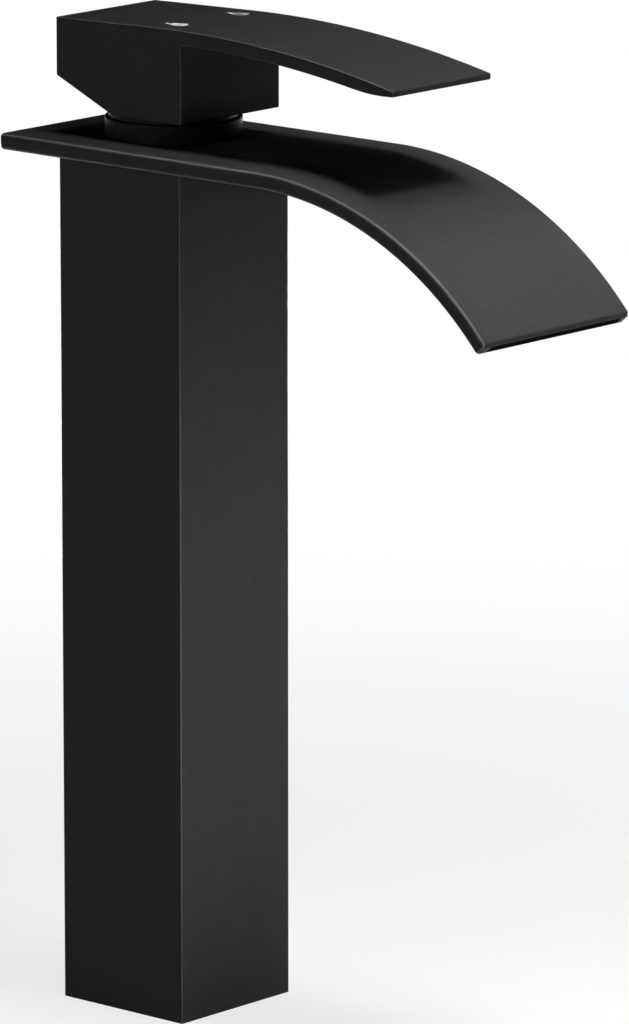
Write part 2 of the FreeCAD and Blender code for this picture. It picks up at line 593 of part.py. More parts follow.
def lever_top(reach):
    """The height of the handle's top face at a reach."""
    if reach < LEVER_ARC_REACH:
        slope = math.radians(HANDLE_TOP_SLOPE)
        return HANDLE_LOW + HANDLE_REAR_HEIGHT + (HANDLE_REAR_REACH + reach) * math.tan(slope)
    centre_reach, centre_height = lever_centre()
    return centre_height + math.sqrt(LEVER_ARC_RADIUS ** 2 - (reach - centre_reach) ** 2)


def handle_outline():
    """The handle's side outline: the block, its sloped rear underside and the thin curved lever."""
    chamfer = math.radians(LIFT_ANGLE + HANDLE_CHAMFER_MARGIN)
    chamfer_height = (HANDLE_REAR_REACH - HANDLE_CHAMFER_REACH) * math.tan(chamfer)
    rear_low = (-HANDLE_REAR_REACH, HANDLE_LOW + chamfer_height)
    rear_top = (-HANDLE_REAR_REACH, HANDLE_LOW + HANDLE_REAR_HEIGHT)
    chamfer_end = (-HANDLE_CHAMFER_REACH, HANDLE_LOW)
    front_low = (HANDLE_FRONT_REACH, HANDLE_LOW)
    root_reach = HANDLE_FRONT_REACH + LEVER_ROOT_ROUND
    root_height = lever_top(root_reach) - LEVER_ROOT_THICKNESS
    round_start = (HANDLE_FRONT_REACH, root_height - LEVER_ROOT_ROUND)
    slant = LEVER_ROOT_ROUND * (1 - math.cos(math.pi / 4))
    round_middle = (HANDLE_FRONT_REACH + slant, root_height - slant)
    root = (root_reach, root_height)
    sweep_reach = LEVER_REACH - LEVER_SWEEP_LENGTH
    sweep = (sweep_reach, lever_top(sweep_reach) - LEVER_END_THICKNESS)
    middle_reach = (root_reach + sweep_reach) / 2
    middle = (middle_reach, lever_top(middle_reach) - (LEVER_ROOT_THICKNESS + LEVER_END_THICKNESS) / 2)
    tip_top = (LEVER_REACH, lever_top(LEVER_REACH))
    tip_low = (LEVER_REACH, tip_top[1] - LEVER_TIP_THICKNESS)
    dip = (LEVER_REACH - LEVER_SWEEP_LENGTH / 2, (sweep[1] + tip_low[1]) / 2 - LEVER_SWEEP_DIP)
    arc_start = (LEVER_ARC_REACH, lever_top(LEVER_ARC_REACH))
    arc_middle_reach = (LEVER_ARC_REACH + LEVER_REACH) / 2
    arc_middle = (arc_middle_reach, lever_top(arc_middle_reach))
    return [(rear_low, chamfer_end), (chamfer_end, front_low), (front_low, round_start),
            (round_start, round_middle, root), (root, middle, sweep), (sweep, dip, tip_low),
            (tip_low, tip_top), (tip_top, arc_middle, arc_start), (arc_start, rear_top),
            (rear_top, rear_low)]


def handle_blank():
    """The handle before it is hollowed."""
    blank = side_prism(handle_outline(), -HANDLE_HALF, HANDLE_HALF)
    return blank.makeFillet(HANDLE_EDGE_ROUND, blank.Edges)


def drop_face(x, radius):
    """A water-drop outline: a round front and two straight sides that meet at a point behind."""
    tip = MARK_TIP * radius / MARK_RADIUS
    lean = math.acos(radius / tip)
    height = SPOUT_TOP
    side = (radius * math.sin(lean), -radius * math.cos(lean))
    point = at(MARK_REACH - tip, height, x)
    left = at(MARK_REACH + side[1], height, x - side[0])
    right = at(MARK_REACH + side[1], height, x + side[0])
    front = at(MARK_REACH + radius, height, x)
    edges = [Part.LineSegment(point, left).toShape(), Part.Arc(left, front, right).toShape(),
             Part.LineSegment(right, point).toShape()]
    return Part.Face(Part.Wire(edges))


def mark_prism(face):
    """A mark's outline raised through the handle's top, from the inlay's floor upwards."""
    floor = lever_top(MARK_REACH) - MARK_DEPTH
    prism = face.extrude(Vector(0, 0, HANDLE_REAR_HEIGHT))
    prism.translate(Vector(0, 0, floor - SPOUT_TOP))
    return prism


def hot_mark():
    """The filled drop on the hot side, set flush in the handle's top."""
    return mark_prism(drop_face(-MARK_OFFSET, MARK_RADIUS)).common(handle_blank())


def cold_mark():
    """The outlined drop on the cold side, set flush in the handle's top."""
    outline = drop_face(MARK_OFFSET, MARK_RADIUS).cut(drop_face(MARK_OFFSET, MARK_RADIUS - MARK_LINE_WIDTH))
    return mark_prism(outline).common(handle_blank())


def handle():
    """The block and lever, hollow below, with the stem's socket and the set screw's hole."""
    roof = HANDLE_LOW + HANDLE_REAR_HEIGHT - HANDLE_ROOF
    rear = -HANDLE_REAR_REACH
    side = HANDLE_HALF - HANDLE_SIDE_WALL
    pocket = block(-side, side, rear + HANDLE_END_WALL, HANDLE_FRONT_REACH - HANDLE_END_WALL,
                   HANDLE_LOW - CUT_MARGIN, roof)
    boss = drum(SOCKET_BOSS_RADIUS, LIFT_AXIS + SOCKET_BOSS_RISE, roof + CUT_MARGIN)
    screw_boss = rod(SCREW_BOSS_RADIUS, at(0.0, SCREW_AXIS), at(rear, SCREW_AXIS))
    pocket = pocket.cut([boss, screw_boss])
    half = STEM_SIDE / 2 + SOCKET_CLEARANCE
    socket = block(-half, half, -half, half, LIFT_AXIS, LIFT_AXIS + STEM_TOP_RISE + SOCKET_CLEARANCE)
    outside = at(rear - CUT_MARGIN, SCREW_AXIS)
    screw_hole = rod(SCREW_RADIUS + SCREW_CLEARANCE, at(0.0, SCREW_AXIS), outside)
    cap_hole = rod(CAP_RADIUS + CAP_CLEARANCE, at(rear + CAP_LENGTH, SCREW_AXIS), outside)
    marks = [mark_prism(drop_face(-MARK_OFFSET, MARK_RADIUS)), cold_mark()]
    return handle_blank().cut([pocket, socket, screw_hole, cap_hole] + marks)


def handle_set_screw():
    """The headless screw that grips the stem, with a hexagon socket in its outer end."""
    start = -STEM_SIDE / 2 - SCREW_CLEARANCE
    end = start - SCREW_LENGTH
    body = rod(SCREW_RADIUS, at(start, SCREW_AXIS), at(end, SCREW_AXIS))
    corner = SCREW_KEY_WIDTH / 2 / math.cos(math.pi / SCREW_KEY_SIDES)
    points = []
    for index in range(SCREW_KEY_SIDES + 1):
        turn = 2 * math.pi * index / SCREW_KEY_SIDES
        points.append(at(end, SCREW_AXIS + corner * math.cos(turn), corner * math.sin(turn)))
    key = Part.Face(Part.makePolygon(points)).extrude(at(SCREW_KEY_DEPTH, 0.0))
    return body.cut(key)


def set_screw_cap():
    """The small plug that closes the set screw's hole at the back of the handle."""
    rear = -HANDLE_REAR_REACH
    return rod(CAP_RADIUS, at(rear + CAP_LENGTH, SCREW_AXIS), at(rear, SCREW_AXIS))


def housing_o_ring():
    """The seal between the cartridge's housing and the valve body's neck."""
    return o_ring(housing_ring_radius(), RING_SECTION_RADIUS, SHOULDER - RING_DROP)


def stem_o_ring():
    """The seal between the stem carrier and the housing's collar."""
    return o_ring(stem_ring_radius(), STEM_RING_SECTION_RADIUS, SHOULDER)


NODES = [column, base_bridge, base_gasket, valve_body, spout_gasket, spout_tray, spout_cover, bonnet_gasket,
         bonnet, cartridge_base, inlet_seals, cartridge_housing, housing_o_ring, fixed_disc, moving_disc,
         disc_carrier, stem_carrier, stem_o_ring, pivot_pin, cartridge_stem, handle, handle_set_screw,
         set_screw_cap, hot_mark, cold_mark]

os.makedirs("parts", exist_ok=True)
for make in NODES:
    shape = make()
    shape.exportStep("parts/" + make.__name__ + ".step")
    print(make.__name__, len(shape.Solids), round(shape.Volume, 1), shape.isValid())
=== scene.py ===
"""A tall square-column basin mixer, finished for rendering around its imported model.

Lengths are in metres. The origin is the centre of the column's foot, +Z is up and the spout points to -Y.
"Reach" is a distance forward of the column's axis, so reach = -y.
"""
import json
import math

import bmesh
import bpy
import numpy as np
from bpy.props import FloatProperty, FloatVectorProperty, IntProperty, PointerProperty
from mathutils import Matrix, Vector


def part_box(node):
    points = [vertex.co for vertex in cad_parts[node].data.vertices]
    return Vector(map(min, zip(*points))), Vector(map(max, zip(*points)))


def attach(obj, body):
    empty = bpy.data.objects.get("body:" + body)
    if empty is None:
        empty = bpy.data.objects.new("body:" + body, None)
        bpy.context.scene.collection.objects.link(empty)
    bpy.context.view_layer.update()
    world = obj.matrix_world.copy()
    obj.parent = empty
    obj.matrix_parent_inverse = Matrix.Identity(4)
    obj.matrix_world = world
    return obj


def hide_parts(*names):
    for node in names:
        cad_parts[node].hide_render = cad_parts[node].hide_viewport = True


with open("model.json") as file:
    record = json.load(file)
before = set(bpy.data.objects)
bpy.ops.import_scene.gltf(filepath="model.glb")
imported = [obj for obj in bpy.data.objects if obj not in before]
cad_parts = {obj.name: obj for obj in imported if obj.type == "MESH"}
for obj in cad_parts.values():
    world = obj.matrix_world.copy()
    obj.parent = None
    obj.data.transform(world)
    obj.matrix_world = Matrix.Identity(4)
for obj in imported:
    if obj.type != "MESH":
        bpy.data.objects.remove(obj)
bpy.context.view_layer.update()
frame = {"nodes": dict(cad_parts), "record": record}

bl_info = {
    "name": "Square Column Basin Mixer",
    "version": (1, 0, 0),
    "blender": (4, 5, 0),
    "location": "3D View > Sidebar > Mixer",
    "description": "Builds the finished pieces of a tall basin mixer and a plain studio around it",
    "category": "Add Mesh",
}

MM = 0.001
_, COLUMN_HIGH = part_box("column")
_, COVER_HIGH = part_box("spout_cover")
_, TRAY_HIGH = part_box("spout_tray")
BONNET_LOW, BONNET_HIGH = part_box("bonnet")
HANDLE_LOW, HANDLE_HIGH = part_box("handle")
_, STEM_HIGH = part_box("cartridge_stem")
CAP_LOW, CAP_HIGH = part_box("set_screw_cap")

MIDDLE = Vector((0.0, -0.05, 0.16))
LEVER_AIM = Vector((0.0, -0.33, 0.29))
COLUMN_AIM = Vector((0.0, -0.025, 0.115))
HANDLE_AIM = Vector((0.0, 0.0, 0.26))

# Each lamp's bearing and rise in degrees from the point it is aimed at, its distance, its width and its height.
LAMP_PLACES = {
    "top_softbox": (270, 76, 2.1, 0.5, 1.0),
    "right_softbox": (300, 70, 2.1, 0.6, 0.6),
    "front_softbox": (270, 60, 2.1, 0.5, 1.0),
    "bend_softbox": (350, 40, 2.1, 1.2, 0.4),
    "lever_softbox": (270, 90, 2.1, 0.5, 0.4),
    "lever_front_softbox": (270, 77, 2.1, 0.5, 0.4),
    "column_softbox": (270, -4, 0.8, 0.3, 0.1),
    "back_softbox": (84, -4, 0.8, 0.3, 0.1),
    "right_side_softbox": (6, -4, 0.8, 0.3, 0.1),
    "left_softbox": (178, 10, 1.0, 0.3, 0.3),
    "rear_softbox": (115, 42, 2.1, 0.35, 0.35),
}

CAMERA_PLACE = Vector((-1.88667, -1.72155, 0.71220))
CAMERA_AIM = Vector((0.03345, -0.02849, 0.15444))
CAMERA_LENS, CAMERA_SENSOR = 294.41, 36.0
CAMERA_NEAR, CAMERA_FAR = 0.1, 100.0
FLOOR_ROWS = 9
FLOOR_DROP = 0.3 * MM

MERGE_DISTANCE = 0.002 * MM
CARVE_MARGIN = 1.0 * MM
ROUND_STEPS = 6
TURN_STEPS = 192
BAR_STEPS = 64
DROP_STEPS = 40
FLAT_ROWS = 5
RIB_ROWS = 10
ACROSS_ROWS = 5
LEVER_TOP_STEPS, LEVER_UNDER_STEPS, SWEEP_STEPS, ROOT_STEPS = 48, 40, 12, 8
BEND_STEP = math.radians(1.0)
LEAST_TURN = math.radians(0.5)
SHARP_ANGLE = math.radians(32)
WEIGHT_OF_FLATS = 60
PAINTED_HIGHLIGHT_SHARE = "painted_highlight_share"


def length(name, description, default):
    """A property for a length in metres."""
    return FloatProperty(name=name, description=description, default=default, unit="LENGTH", precision=5)


def angle(name, description, degrees):
    """A property for an angle, given in degrees and kept in radians."""
    return FloatProperty(name=name, description=description, default=math.radians(degrees), subtype="ANGLE")


def colour(name, description, default):
    """A property for a linear colour."""
    return FloatVectorProperty(name=name, description=description, default=default, subtype="COLOR", min=0, max=1)


def share(name, description, default):
    """A property for a number from 0 to 1."""
    return FloatProperty(name=name, description=description, default=default, min=0, max=1, subtype="FACTOR")


def power(name, description, default):
    """A property for a lamp's power in watts."""
    return FloatProperty(name=name, description=description, default=default, min=0, unit="POWER")


class MIXER_PG_column(bpy.types.PropertyGroup):
    """Sizes of the square column."""
    half_side: length("Half side", "Half of the column's outer side", COLUMN_HIGH.x)
    height: length("Height", "Height of the column's top above the deck", COLUMN_HIGH.z)
    wall: length("Wall", "Thickness of the column's wall", 3.0 * MM)
    edge_round: length("Edge round", "Radius of the long outer edges", 0.6 * MM)
    end_break: length("End break", "Chamfer on the tube's outer end edges", 0.15 * MM)


class MIXER_PG_spout(bpy.types.PropertyGroup):
    """Sizes of the spout plate and its outlet."""
    half_width: length("Half width", "Half of the plate's width", TRAY_HIGH.x)
    rear_reach: length("Rear reach", "How far the plate stands out behind the axis", TRAY_HIGH.y)
    thickness: length("Thickness", "Thickness of the plate", COVER_HIGH.z - COLUMN_HIGH.z)
    top: length("Top", "Height of the plate's flat top", COVER_HIGH.z)
    flat_reach: length("Flat reach", "Where the flat part ends and the bend starts", 63.4 * MM)
    bend_radius: length("Bend radius", "Radius of the bend along the plate's top", 122.25 * MM)
    bend_angle: angle("Bend angle", "How far the plate bends down", 48.8)
    edge_round: length("Edge round", "Radius of the plate's outer edges", 1.5 * MM)
    mouth_half_width: length("Mouth half width", "Half of the outlet slot's width", 30.5 * MM)
    mouth_half_height: length("Mouth half height", "Half of the outlet slot's height", 1.425 * MM)
    mouth_round: length("Mouth round", "Radius of the outlet slot's corners", 0.3 * MM)
    lip: length("Lip", "Least width of the face round the outlet slot", 0.05 * MM)
    neck_hole: length("Neck hole", "Radius of the hole for the valve's neck", 19.3 * MM)
    rib_count: IntProperty(name="Ribs", description="Ribs in the outlet slot", default=5, min=0)
    rib_half_width: length("Rib half width", "Half of a rib's thickness", 0.6 * MM)
    rib_start: angle("Rib start", "Where the ribs start on the bend", 38.3)
    rib_end: angle("Rib end", "Where the ribs end on the bend", 46.3)


class MIXER_PG_bonnet(bpy.types.PropertyGroup):
    """Sizes of the round cap under the handle."""
    flange_radius: length("Flange radius", "Radius of the lower flange", BONNET_HIGH.x)
    flange_height: length("Flange height", "Height of the lower flange", 6.2 * MM)
    barrel_radius: length("Barrel radius", "Radius of the barrel above the flange", 20.2 * MM)
    bore_radius: length("Bore radius", "Radius of the threaded bore", 19.0 * MM)
    recess_radius: length("Recess radius", "Radius of the seal's recess", 20.6 * MM)
    recess_height: length("Recess height", "Height of the seal's recess", 0.8 * MM)
    lip: length("Lip", "Thickness of the lip over the cartridge", 1.6 * MM)
    hole_radius: length("Hole radius", "Radius of the hole in the lip", 15.16 * MM)
    edge_round: length("Edge round", "Radius of the turned edges", 0.5 * MM)


class MIXER_PG_handle(bpy.types.PropertyGroup):
    """Sizes of the handle's block and lever."""
    half_width: length("Half width", "Half of the handle's width", HANDLE_HIGH.x)
    low: length("Underside", "Height of the block's underside", HANDLE_LOW.z)
    rear_reach: length("Rear reach", "How far the block stands out behind the axis", HANDLE_HIGH.y)
    rear_height: length("Rear height", "Height of the block at its rear", 28.3 * MM)
    front_reach: length("Front reach", "Reach of the block's front face", 23.6 * MM)
    top_slope: angle("Top slope", "Rise of the block's top towards the lever", 1.3)
    chamfer_reach: length("Chamfer reach", "Where the sloped rear underside starts behind the axis", 5.2 * MM)
    chamfer_angle: angle("Chamfer angle", "Slope of the rear underside", 23.5)
    arc_reach: length("Arc reach", "Where the lever's top starts to curve", 12.5 * MM)
    arc_radius: length("Arc radius", "Radius along the lever's top", 410.0 * MM)
    lever_reach: length("Lever reach", "Reach of the lever's tip", -HANDLE_LOW.y)
    root_thickness: length("Root thickness", "Lever thickness at the block", 4.6 * MM)
    end_thickness: length("End thickness", "Lever thickness where the tip's sweep starts", 4.25 * MM)
    tip_thickness: length("Tip thickness", "Lever thickness at its tip", 1.9 * MM)
    sweep_length: length("Sweep length", "Length of the swept underside at the tip", 16.0 * MM)
    sweep_dip: length("Sweep dip", "How far the swept underside bows", 0.46 * MM)
    root_round: length("Root round", "Radius between the block's front and the lever", 1.0 * MM)
    edge_round: length("Edge round", "Radius of the handle's edges", 0.5 * MM)
    side_wall: length("Side wall", "Wall at the block's sides", 1.95 * MM)
    end_wall: length("End wall", "Wall at the block's front and rear", 2.5 * MM)
    roof: length("Roof", "Thickness over the block's pocket", 4.5 * MM)
    boss_radius: length("Boss radius", "Radius of the boss around the stem", 7.5 * MM)
    boss_low: length("Boss low", "Height of the boss's lower end", 295.0 * MM)
    screw_radius: length("Screw hole radius", "Radius of the set screw's hole", 2.55 * MM)
    screw_boss_radius: length("Screw boss radius", "Radius of the boss around the set screw", 4.2 * MM)
    stem_gap: length("Stem gap", "Clearance around the stem in its socket", 0.05 * MM)


class MIXER_PG_marks(bpy.types.PropertyGroup):
    """Sizes of the two inlaid drops on the handle."""
    offset: length("Offset", "Distance of each drop from the middle", 14.0 * MM)
    reach: length("Reach", "Reach of the centre of each drop's round end", 15.5 * MM)
    radius: length("Radius", "Radius of a drop's round end", 2.6 * MM)
    tip: length("Tip", "Distance from the round end's centre to the point", 6.0 * MM)
    line: length("Line", "Width of the outlined drop's line", 0.9 * MM)
    depth: length("Depth", "Depth of the inlay", 0.4 * MM)
    proud: length("Proud", "How far the inlay stands out of the top", 0.02 * MM)


class MIXER_PG_finishes(bpy.types.PropertyGroup):
    """Colours and surface values of the finishes."""
    coat: colour("Coat", "Colour of the black powder coat", (0.028, 0.028, 0.028))
    # Painted shade: a darker copy of the coat for the bonnet in the shade under the handle, also used on the screw
    # plug.
    shaded_turned_coat: colour("Shaded turned coat", "Colour of the black coat on the round pieces", (0.011, 0.011, 0.011))
    # Painted highlight: this pale colour along the rounded edges stands in for light caught there; the sharpness
    # below sets how narrow the lines are.
    painted_edge_highlight: colour("Painted edge highlight", "Colour of the black coat along the edges", (0.12, 0.12, 0.12))
    painted_highlight_sharpness: share("Edge sharpness", "How closely the pale lines keep to the edges", 0.75)
    coat_roughness: share("Coat roughness", "Mean roughness of the black coat", 0.32)
    coat_gloss: share("Coat gloss", "Specular level of the black coat", 0.04)
    silver: colour("Silver", "Colour of the inlaid marks", (0.72, 0.72, 0.73))
    brass: colour("Brass", "Colour of the valve body", (0.62, 0.45, 0.20))
    rubber: colour("Rubber", "Colour of the seals", (0.022, 0.022, 0.022))
    plastic: colour("Plastic", "Colour of the cartridge's shell", (0.70, 0.70, 0.67))
    ceramic: colour("Ceramic", "Colour of the ceramic discs", (0.80, 0.78, 0.74))
    steel: colour("Steel", "Colour of the stem, pin and screw", (0.55, 0.55, 0.54))


class MIXER_PG_stage(bpy.types.PropertyGroup):
    """The studio around the mixer."""
    floor: colour("Floor", "Colour of the floor", (0.46, 0.46, 0.46))
    floor_half: length("Floor half size", "Half of the floor's side", 60.0)
    fade_start: length("Fade start", "Distance from the mixer at which the floor starts to fade to white", 0.1)
    fade_end: length("Fade end", "Distance from the mixer at which the floor is all white", 0.7)
    least_white: share("Least white", "Share of plain white in the floor beside the mixer, as it is seen", 0.78)
    surround: FloatProperty(name="Surround", description="Strength of the studio's ambient light", default=0.0,
                            min=0)
    top_light: power("Top light", "Power of the narrow softbox high in front", 6.0)
    right_light: power("Right light", "Power of the softbox high in front on the right", 5.0)
    front_light: power("Front light", "Power of the softbox in front", 3.8)
    bend_light: power("Bend light", "Power of the wide softbox on the right", 4.7)
    lever_light: power("Lever light", "Power of each beam on the lever's tip and the bend", 1.14)
    lever_tone: colour("Lever tone", "Colour of the beams on the lever's tip and the bend", (1.0, 1.0, 0.92))
    lever_beam: angle("Lever beam", "Full angle of the beams on the lever's tip", 17.8)
    column_light: power("Column light", "Power of the beam on the column's front", 0.163)
    column_beam: angle("Column beam", "Full angle of the beam on the column's front", 25.0)
    back_light: power("Back light", "Power of each low beam on the column's back and right side", 0.35)
    back_beam: angle("Back beam", "Full angle of the beams on the column's back and right side", 40.0)
    left_light: power("Left light", "Power of the beam on the left of the handle and the column's top", 0.1)
    left_beam: angle("Left beam", "Full angle of the beam on the left", 40.0)
    rear_light: power("Rear light", "Power of the small softbox behind on the left", 0.6)


def grid_faces(rows, columns, close_rows=False, close_columns=True):
    """Corner numbers of a grid's quads, with the last row or column joined to the first where it is closed."""
    row = np.arange(rows if close_rows else rows - 1)[:, None]
    column = np.arange(columns if close_columns else columns - 1)[None, :]
    next_row, next_column = (row + 1) % rows, (column + 1) % columns
    corners = np.broadcast_arrays(row * columns + column, row * columns + next_column,
                                  next_row * columns + next_column, next_row * columns + column)
    return np.stack(corners, -1).reshape(-1, 4).tolist()


def closed_mesh(name, points, closed_rows):
    """A closed mesh from a grid of points: a ring of rings, or a row of rings with a flat end at each end."""
    rows, columns = points.shape[:2]
    faces = grid_faces(rows, columns, closed_rows)
    if not closed_rows:
        faces += [list(range(columns))[::-1], list(range((rows - 1) * columns, rows * columns))]
    mesh = bpy.data.meshes.new(name)
    mesh.from_pydata(points.reshape(-1, 3).tolist(), [], faces)
    return tidied(mesh)


def tidied(mesh):
    """The mesh with coincident points merged and every face turned outwards."""
    work = bmesh.new()
    work.from_mesh(mesh)
    bmesh.ops.remove_doubles(work, verts=work.verts, dist=MERGE_DISTANCE)
    bmesh.ops.dissolve_degenerate(work, edges=work.edges, dist=MERGE_DISTANCE)
    bmesh.ops.recalc_face_normals(work, faces=work.faces)
    work.to_mesh(mesh)
    work.free()
    return mesh


def joined_mesh(name, meshes):
    """One mesh from several, which are removed."""
    work = bmesh.new()
    for part in meshes:
        work.from_mesh(part)
        bpy.data.meshes.remove(part)
    mesh = bpy.data.meshes.new(name)
    work.to_mesh(mesh)
    work.free()
    return mesh


def new_object(mesh):
    """An object at the origin that shows the mesh."""
    made = bpy.data.objects.new(mesh.name, mesh)
    bpy.context.scene.collection.objects.link(made)
    return made


def carved(mesh, cutters):
    """The mesh with each closed cutter taken away from it in turn."""
    solid = new_object(mesh)
    tools = [new_object(cutter) for cutter in cutters]
    for tool in tools:
        step = solid.modifiers.new(tool.name, "BOOLEAN")
        step.operation, step.solver, step.object = "DIFFERENCE", "EXACT", tool
    graph = bpy.context.evaluated_depsgraph_get()
    result = bpy.data.meshes.new_from_object(solid.evaluated_get(graph))
    name = mesh.name
    for spent in [solid] + tools:
        old = spent.data
        bpy.data.objects.remove(spent)
        bpy.data.meshes.remove(old)
    result.name = name
    return tidied(result)


def painted_highlight_shares(mesh):
    """How close each face corner is to 45 degrees between a side and the rest, from 0 to 1.

    With x the sideways share of the corner's normal, it is 2 |x| sqrt(1 - x^2). It masks the black coat's painted
    highlight."""
    normals = np.empty(len(mesh.loops) * 3, np.float32)
    mesh.corner_normals.foreach_get("vector", normals)
    side = np.clip(np.abs(normals[::3]), 0, 1)
    return 2 * side * np.sqrt(1 - side ** 2)


def finished(mesh, material, body, nodes):
    """A finished piece: smooth faces with true flats, a material, and its place in the frame."""
    mesh.materials.clear()
    mesh.materials.append(material)
    mesh.polygons.foreach_set("material_index", np.zeros(len(mesh.polygons), dtype=np.int32))
    mesh.shade_smooth()
    mesh.set_sharp_from_angle(angle=SHARP_ANGLE)
    # Stores the mask of the painted edge highlight on every corner.
    mesh.attributes.new(PAINTED_HIGHLIGHT_SHARE, "FLOAT", "CORNER").data.foreach_set("value", painted_highlight_shares(mesh))
    piece = new_object(mesh)
    even = piece.modifiers.new("even_shading", "WEIGHTED_NORMAL")
    even.mode, even.weight, even.keep_sharp = "FACE_AREA", WEIGHT_OF_FLATS, True
    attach(piece, body)
    if nodes:
        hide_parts(*nodes)
    return piece


def rectangle_ring(half_a, half_b, steps=ROUND_STEPS, between=6):
    """A rectangle's corner points and outward normals, each corner with a fan of normals.

    The ring at a distance is the points plus the distance times the normals, so its corners are round."""
    fan = np.linspace(0, math.pi / 2, steps + 1)
    signs = [(1, 1), (-1, 1), (-1, -1), (1, -1)]
    points, normals = [], []
    for quarter, (sign, after) in enumerate(zip(signs, signs[1:] + signs[:1])):
        corner, following = np.array(sign) * (half_a, half_b), np.array(after) * (half_a, half_b)
        turn = fan + quarter * math.pi / 2
        part = np.linspace(0, 1, between + 2)[1:-1, None]
        side = np.tile([math.cos(turn[-1]), math.sin(turn[-1])], (between, 1))
        points += [np.tile(corner, (steps + 1, 1)), corner + part * (following - corner)]
        normals += [np.stack([np.cos(turn), np.sin(turn)], -1), side]
    return np.concatenate(points), np.concatenate(normals)


def round_rows(radius, first=0.0):
    """The inset and the outward distance of each row round a quarter circle, from the end face to the side.

    The rows start where the outward distance is the first one given."""
    turn = np.linspace(math.acos(first / radius), 0, ROUND_STEPS + 1)
    return radius - radius * np.sin(turn), radius * np.cos(turn)


def upright_ring(points, normals, out, height):
    """A level ring of points at a height, moved out along its normals."""
    flat = points + out * normals
    return np.column_stack([flat, np.full(len(flat), height)])


def turned(profile):
    """A closed (radius, height) profile carried round the Z axis."""
    turn = np.linspace(0, 2 * math.pi, TURN_STEPS, endpoint=False)[:, None]
    radius, height = profile[:, 0][None, :], profile[:, 1][None, :]
    return np.stack(np.broadcast_arrays(radius * np.cos(turn), radius * np.sin(turn), height), -1)


def column_points(size):
    """The square tube as a ring of rings: outside from foot to top, over the top edge and down the inside."""
    outer = size.half_side - size.edge_round
    out_points, out_normals = rectangle_ring(outer, outer)
    inner = size.half_side - size.wall
    in_points, in_normals = rectangle_ring(inner, inner)
    rise, ease = size.end_break, size.edge_round - size.end_break
    rings = [upright_ring(out_points, out_normals, ease, 0.0),
             upright_ring(out_points, out_normals, size.edge_round, rise),
             upright_ring(out_points, out_normals, size.edge_round, size.height - rise),
             upright_ring(out_points, out_normals, ease, size.height),
             upright_ring(in_points, in_normals, 0.0, size.height),
             upright_ring(in_points, in_normals, 0.0, 0.0)]
    return np.stack(rings)


def on_plate(size, x, along, depth):
    """Where a point of the flat plate goes when the plate is bent: along is measured on its top face.

    The bend keeps x, turns by (along - flat reach) / radius, and moves each depth on its own circle."""
    turn = np.maximum(along - size.flat_reach, 0) / size.bend_radius
    radius = size.bend_radius - depth
    reach = np.minimum(along, size.flat_reach) + radius * np.sin(turn)
    height = size.top - size.bend_radius + radius * np.cos(turn)
    return np.stack(np.broadcast_arrays(x, -reach, height), -1)


def plate_rows(size, start, end):
    """Places along the plate from start to end, close together on the bend and sparse on the flat."""
    if end <= size.flat_reach:
        return np.array([start, end])
    bend_start = max(start, size.flat_reach)
    bend = np.linspace(bend_start, end, max(2, round((end - bend_start) / (BEND_STEP * size.bend_radius))))
    flat = np.linspace(start, size.flat_reach, FLAT_ROWS)[:-1] if start < size.flat_reach else np.empty(0)
    return np.concatenate([flat, bend])


def spout_points(size):
    """The plate as rings from its rear face, along the outside to the outlet face, and back inside the slot."""
    radius = size.edge_round
    end = size.flat_reach + size.bend_radius * size.bend_angle
    outside, normals = rectangle_ring(size.half_width - radius, size.thickness / 2 - radius)
    slot, _ = rectangle_ring(size.mouth_half_width - size.mouth_round, size.mouth_half_height - size.mouth_round)
    inset, out = round_rows(radius)
    rim = max(0.0, size.mouth_half_height + size.lip - (size.thickness / 2 - radius))
    front_inset, front_out = round_rows(radius, rim)
    body = plate_rows(size, -size.rear_reach + radius, end - radius)[1:-1]
    inside = plate_rows(size, 0.0, end - front_inset[0])[::-1]
    along = np.concatenate([-size.rear_reach + inset, body, end - front_inset[::-1], inside])
    moved = np.concatenate([out, np.full(len(body), radius), front_out[::-1],
                            np.full(len(inside), size.mouth_round)])
    is_slot = np.arange(len(along)) >= len(along) - len(inside)
    section = np.where(is_slot[:, None, None], slot, outside) + moved[:, None, None] * normals
    return on_plate(size, section[..., 0], along[:, None], size.thickness / 2 - section[..., 1])


def rib_points(size, x):
    """One rib of the outlet slot: a thin bar bent with the plate, eased at its corners."""
    ease = size.mouth_round / 2
    half_height = size.mouth_half_height + ease
    section, normals = rectangle_ring(size.rib_half_width - ease, half_height - ease, steps=3, between=0)
    section = section + ease * normals
    along = size.flat_reach + size.bend_radius * np.linspace(size.rib_start, size.rib_end, RIB_ROWS)
    return on_plate(size, x + section[None, :, 0], along[:, None], size.thickness / 2 - section[None, :, 1])


def bonnet_profile(size):
    """The bonnet's section from its foot up the outside, over the lip and down the bore."""
    low, high = BONNET_LOW.z, BONNET_HIGH.z
    ease, flange_top = size.edge_round, BONNET_LOW.z + size.flange_height
    small = ease / 2
    foot = [(size.recess_radius, low), (size.flange_radius - small, low), (size.flange_radius, low + small)]
    rim = np.radians(np.linspace(0, 90, ROUND_STEPS + 1))
    circle = np.stack([np.cos(rim), np.sin(rim)], -1)
    flange_rim = (size.flange_radius - ease, flange_top - ease) + ease * circle
    barrel_rim = (size.barrel_radius - ease, high - ease) + ease * circle
    bore = [(size.hole_radius, high), (size.hole_radius, high - size.lip), (size.bore_radius, high - size.lip),
            (size.bore_radius, low + size.recess_height), (size.recess_radius, low + size.recess_height)]
    return np.concatenate([foot, flange_rim, [(size.barrel_radius, flange_top)], barrel_rim, bore])


def straight(start, end):
    """A straight side of an outline, with its normals on the left of its direction."""
    points = np.array([start, end])
    ahead = (points[1] - points[0]) / np.linalg.norm(points[1] - points[0])
    return points, np.tile([-ahead[1], ahead[0]], (2, 1))


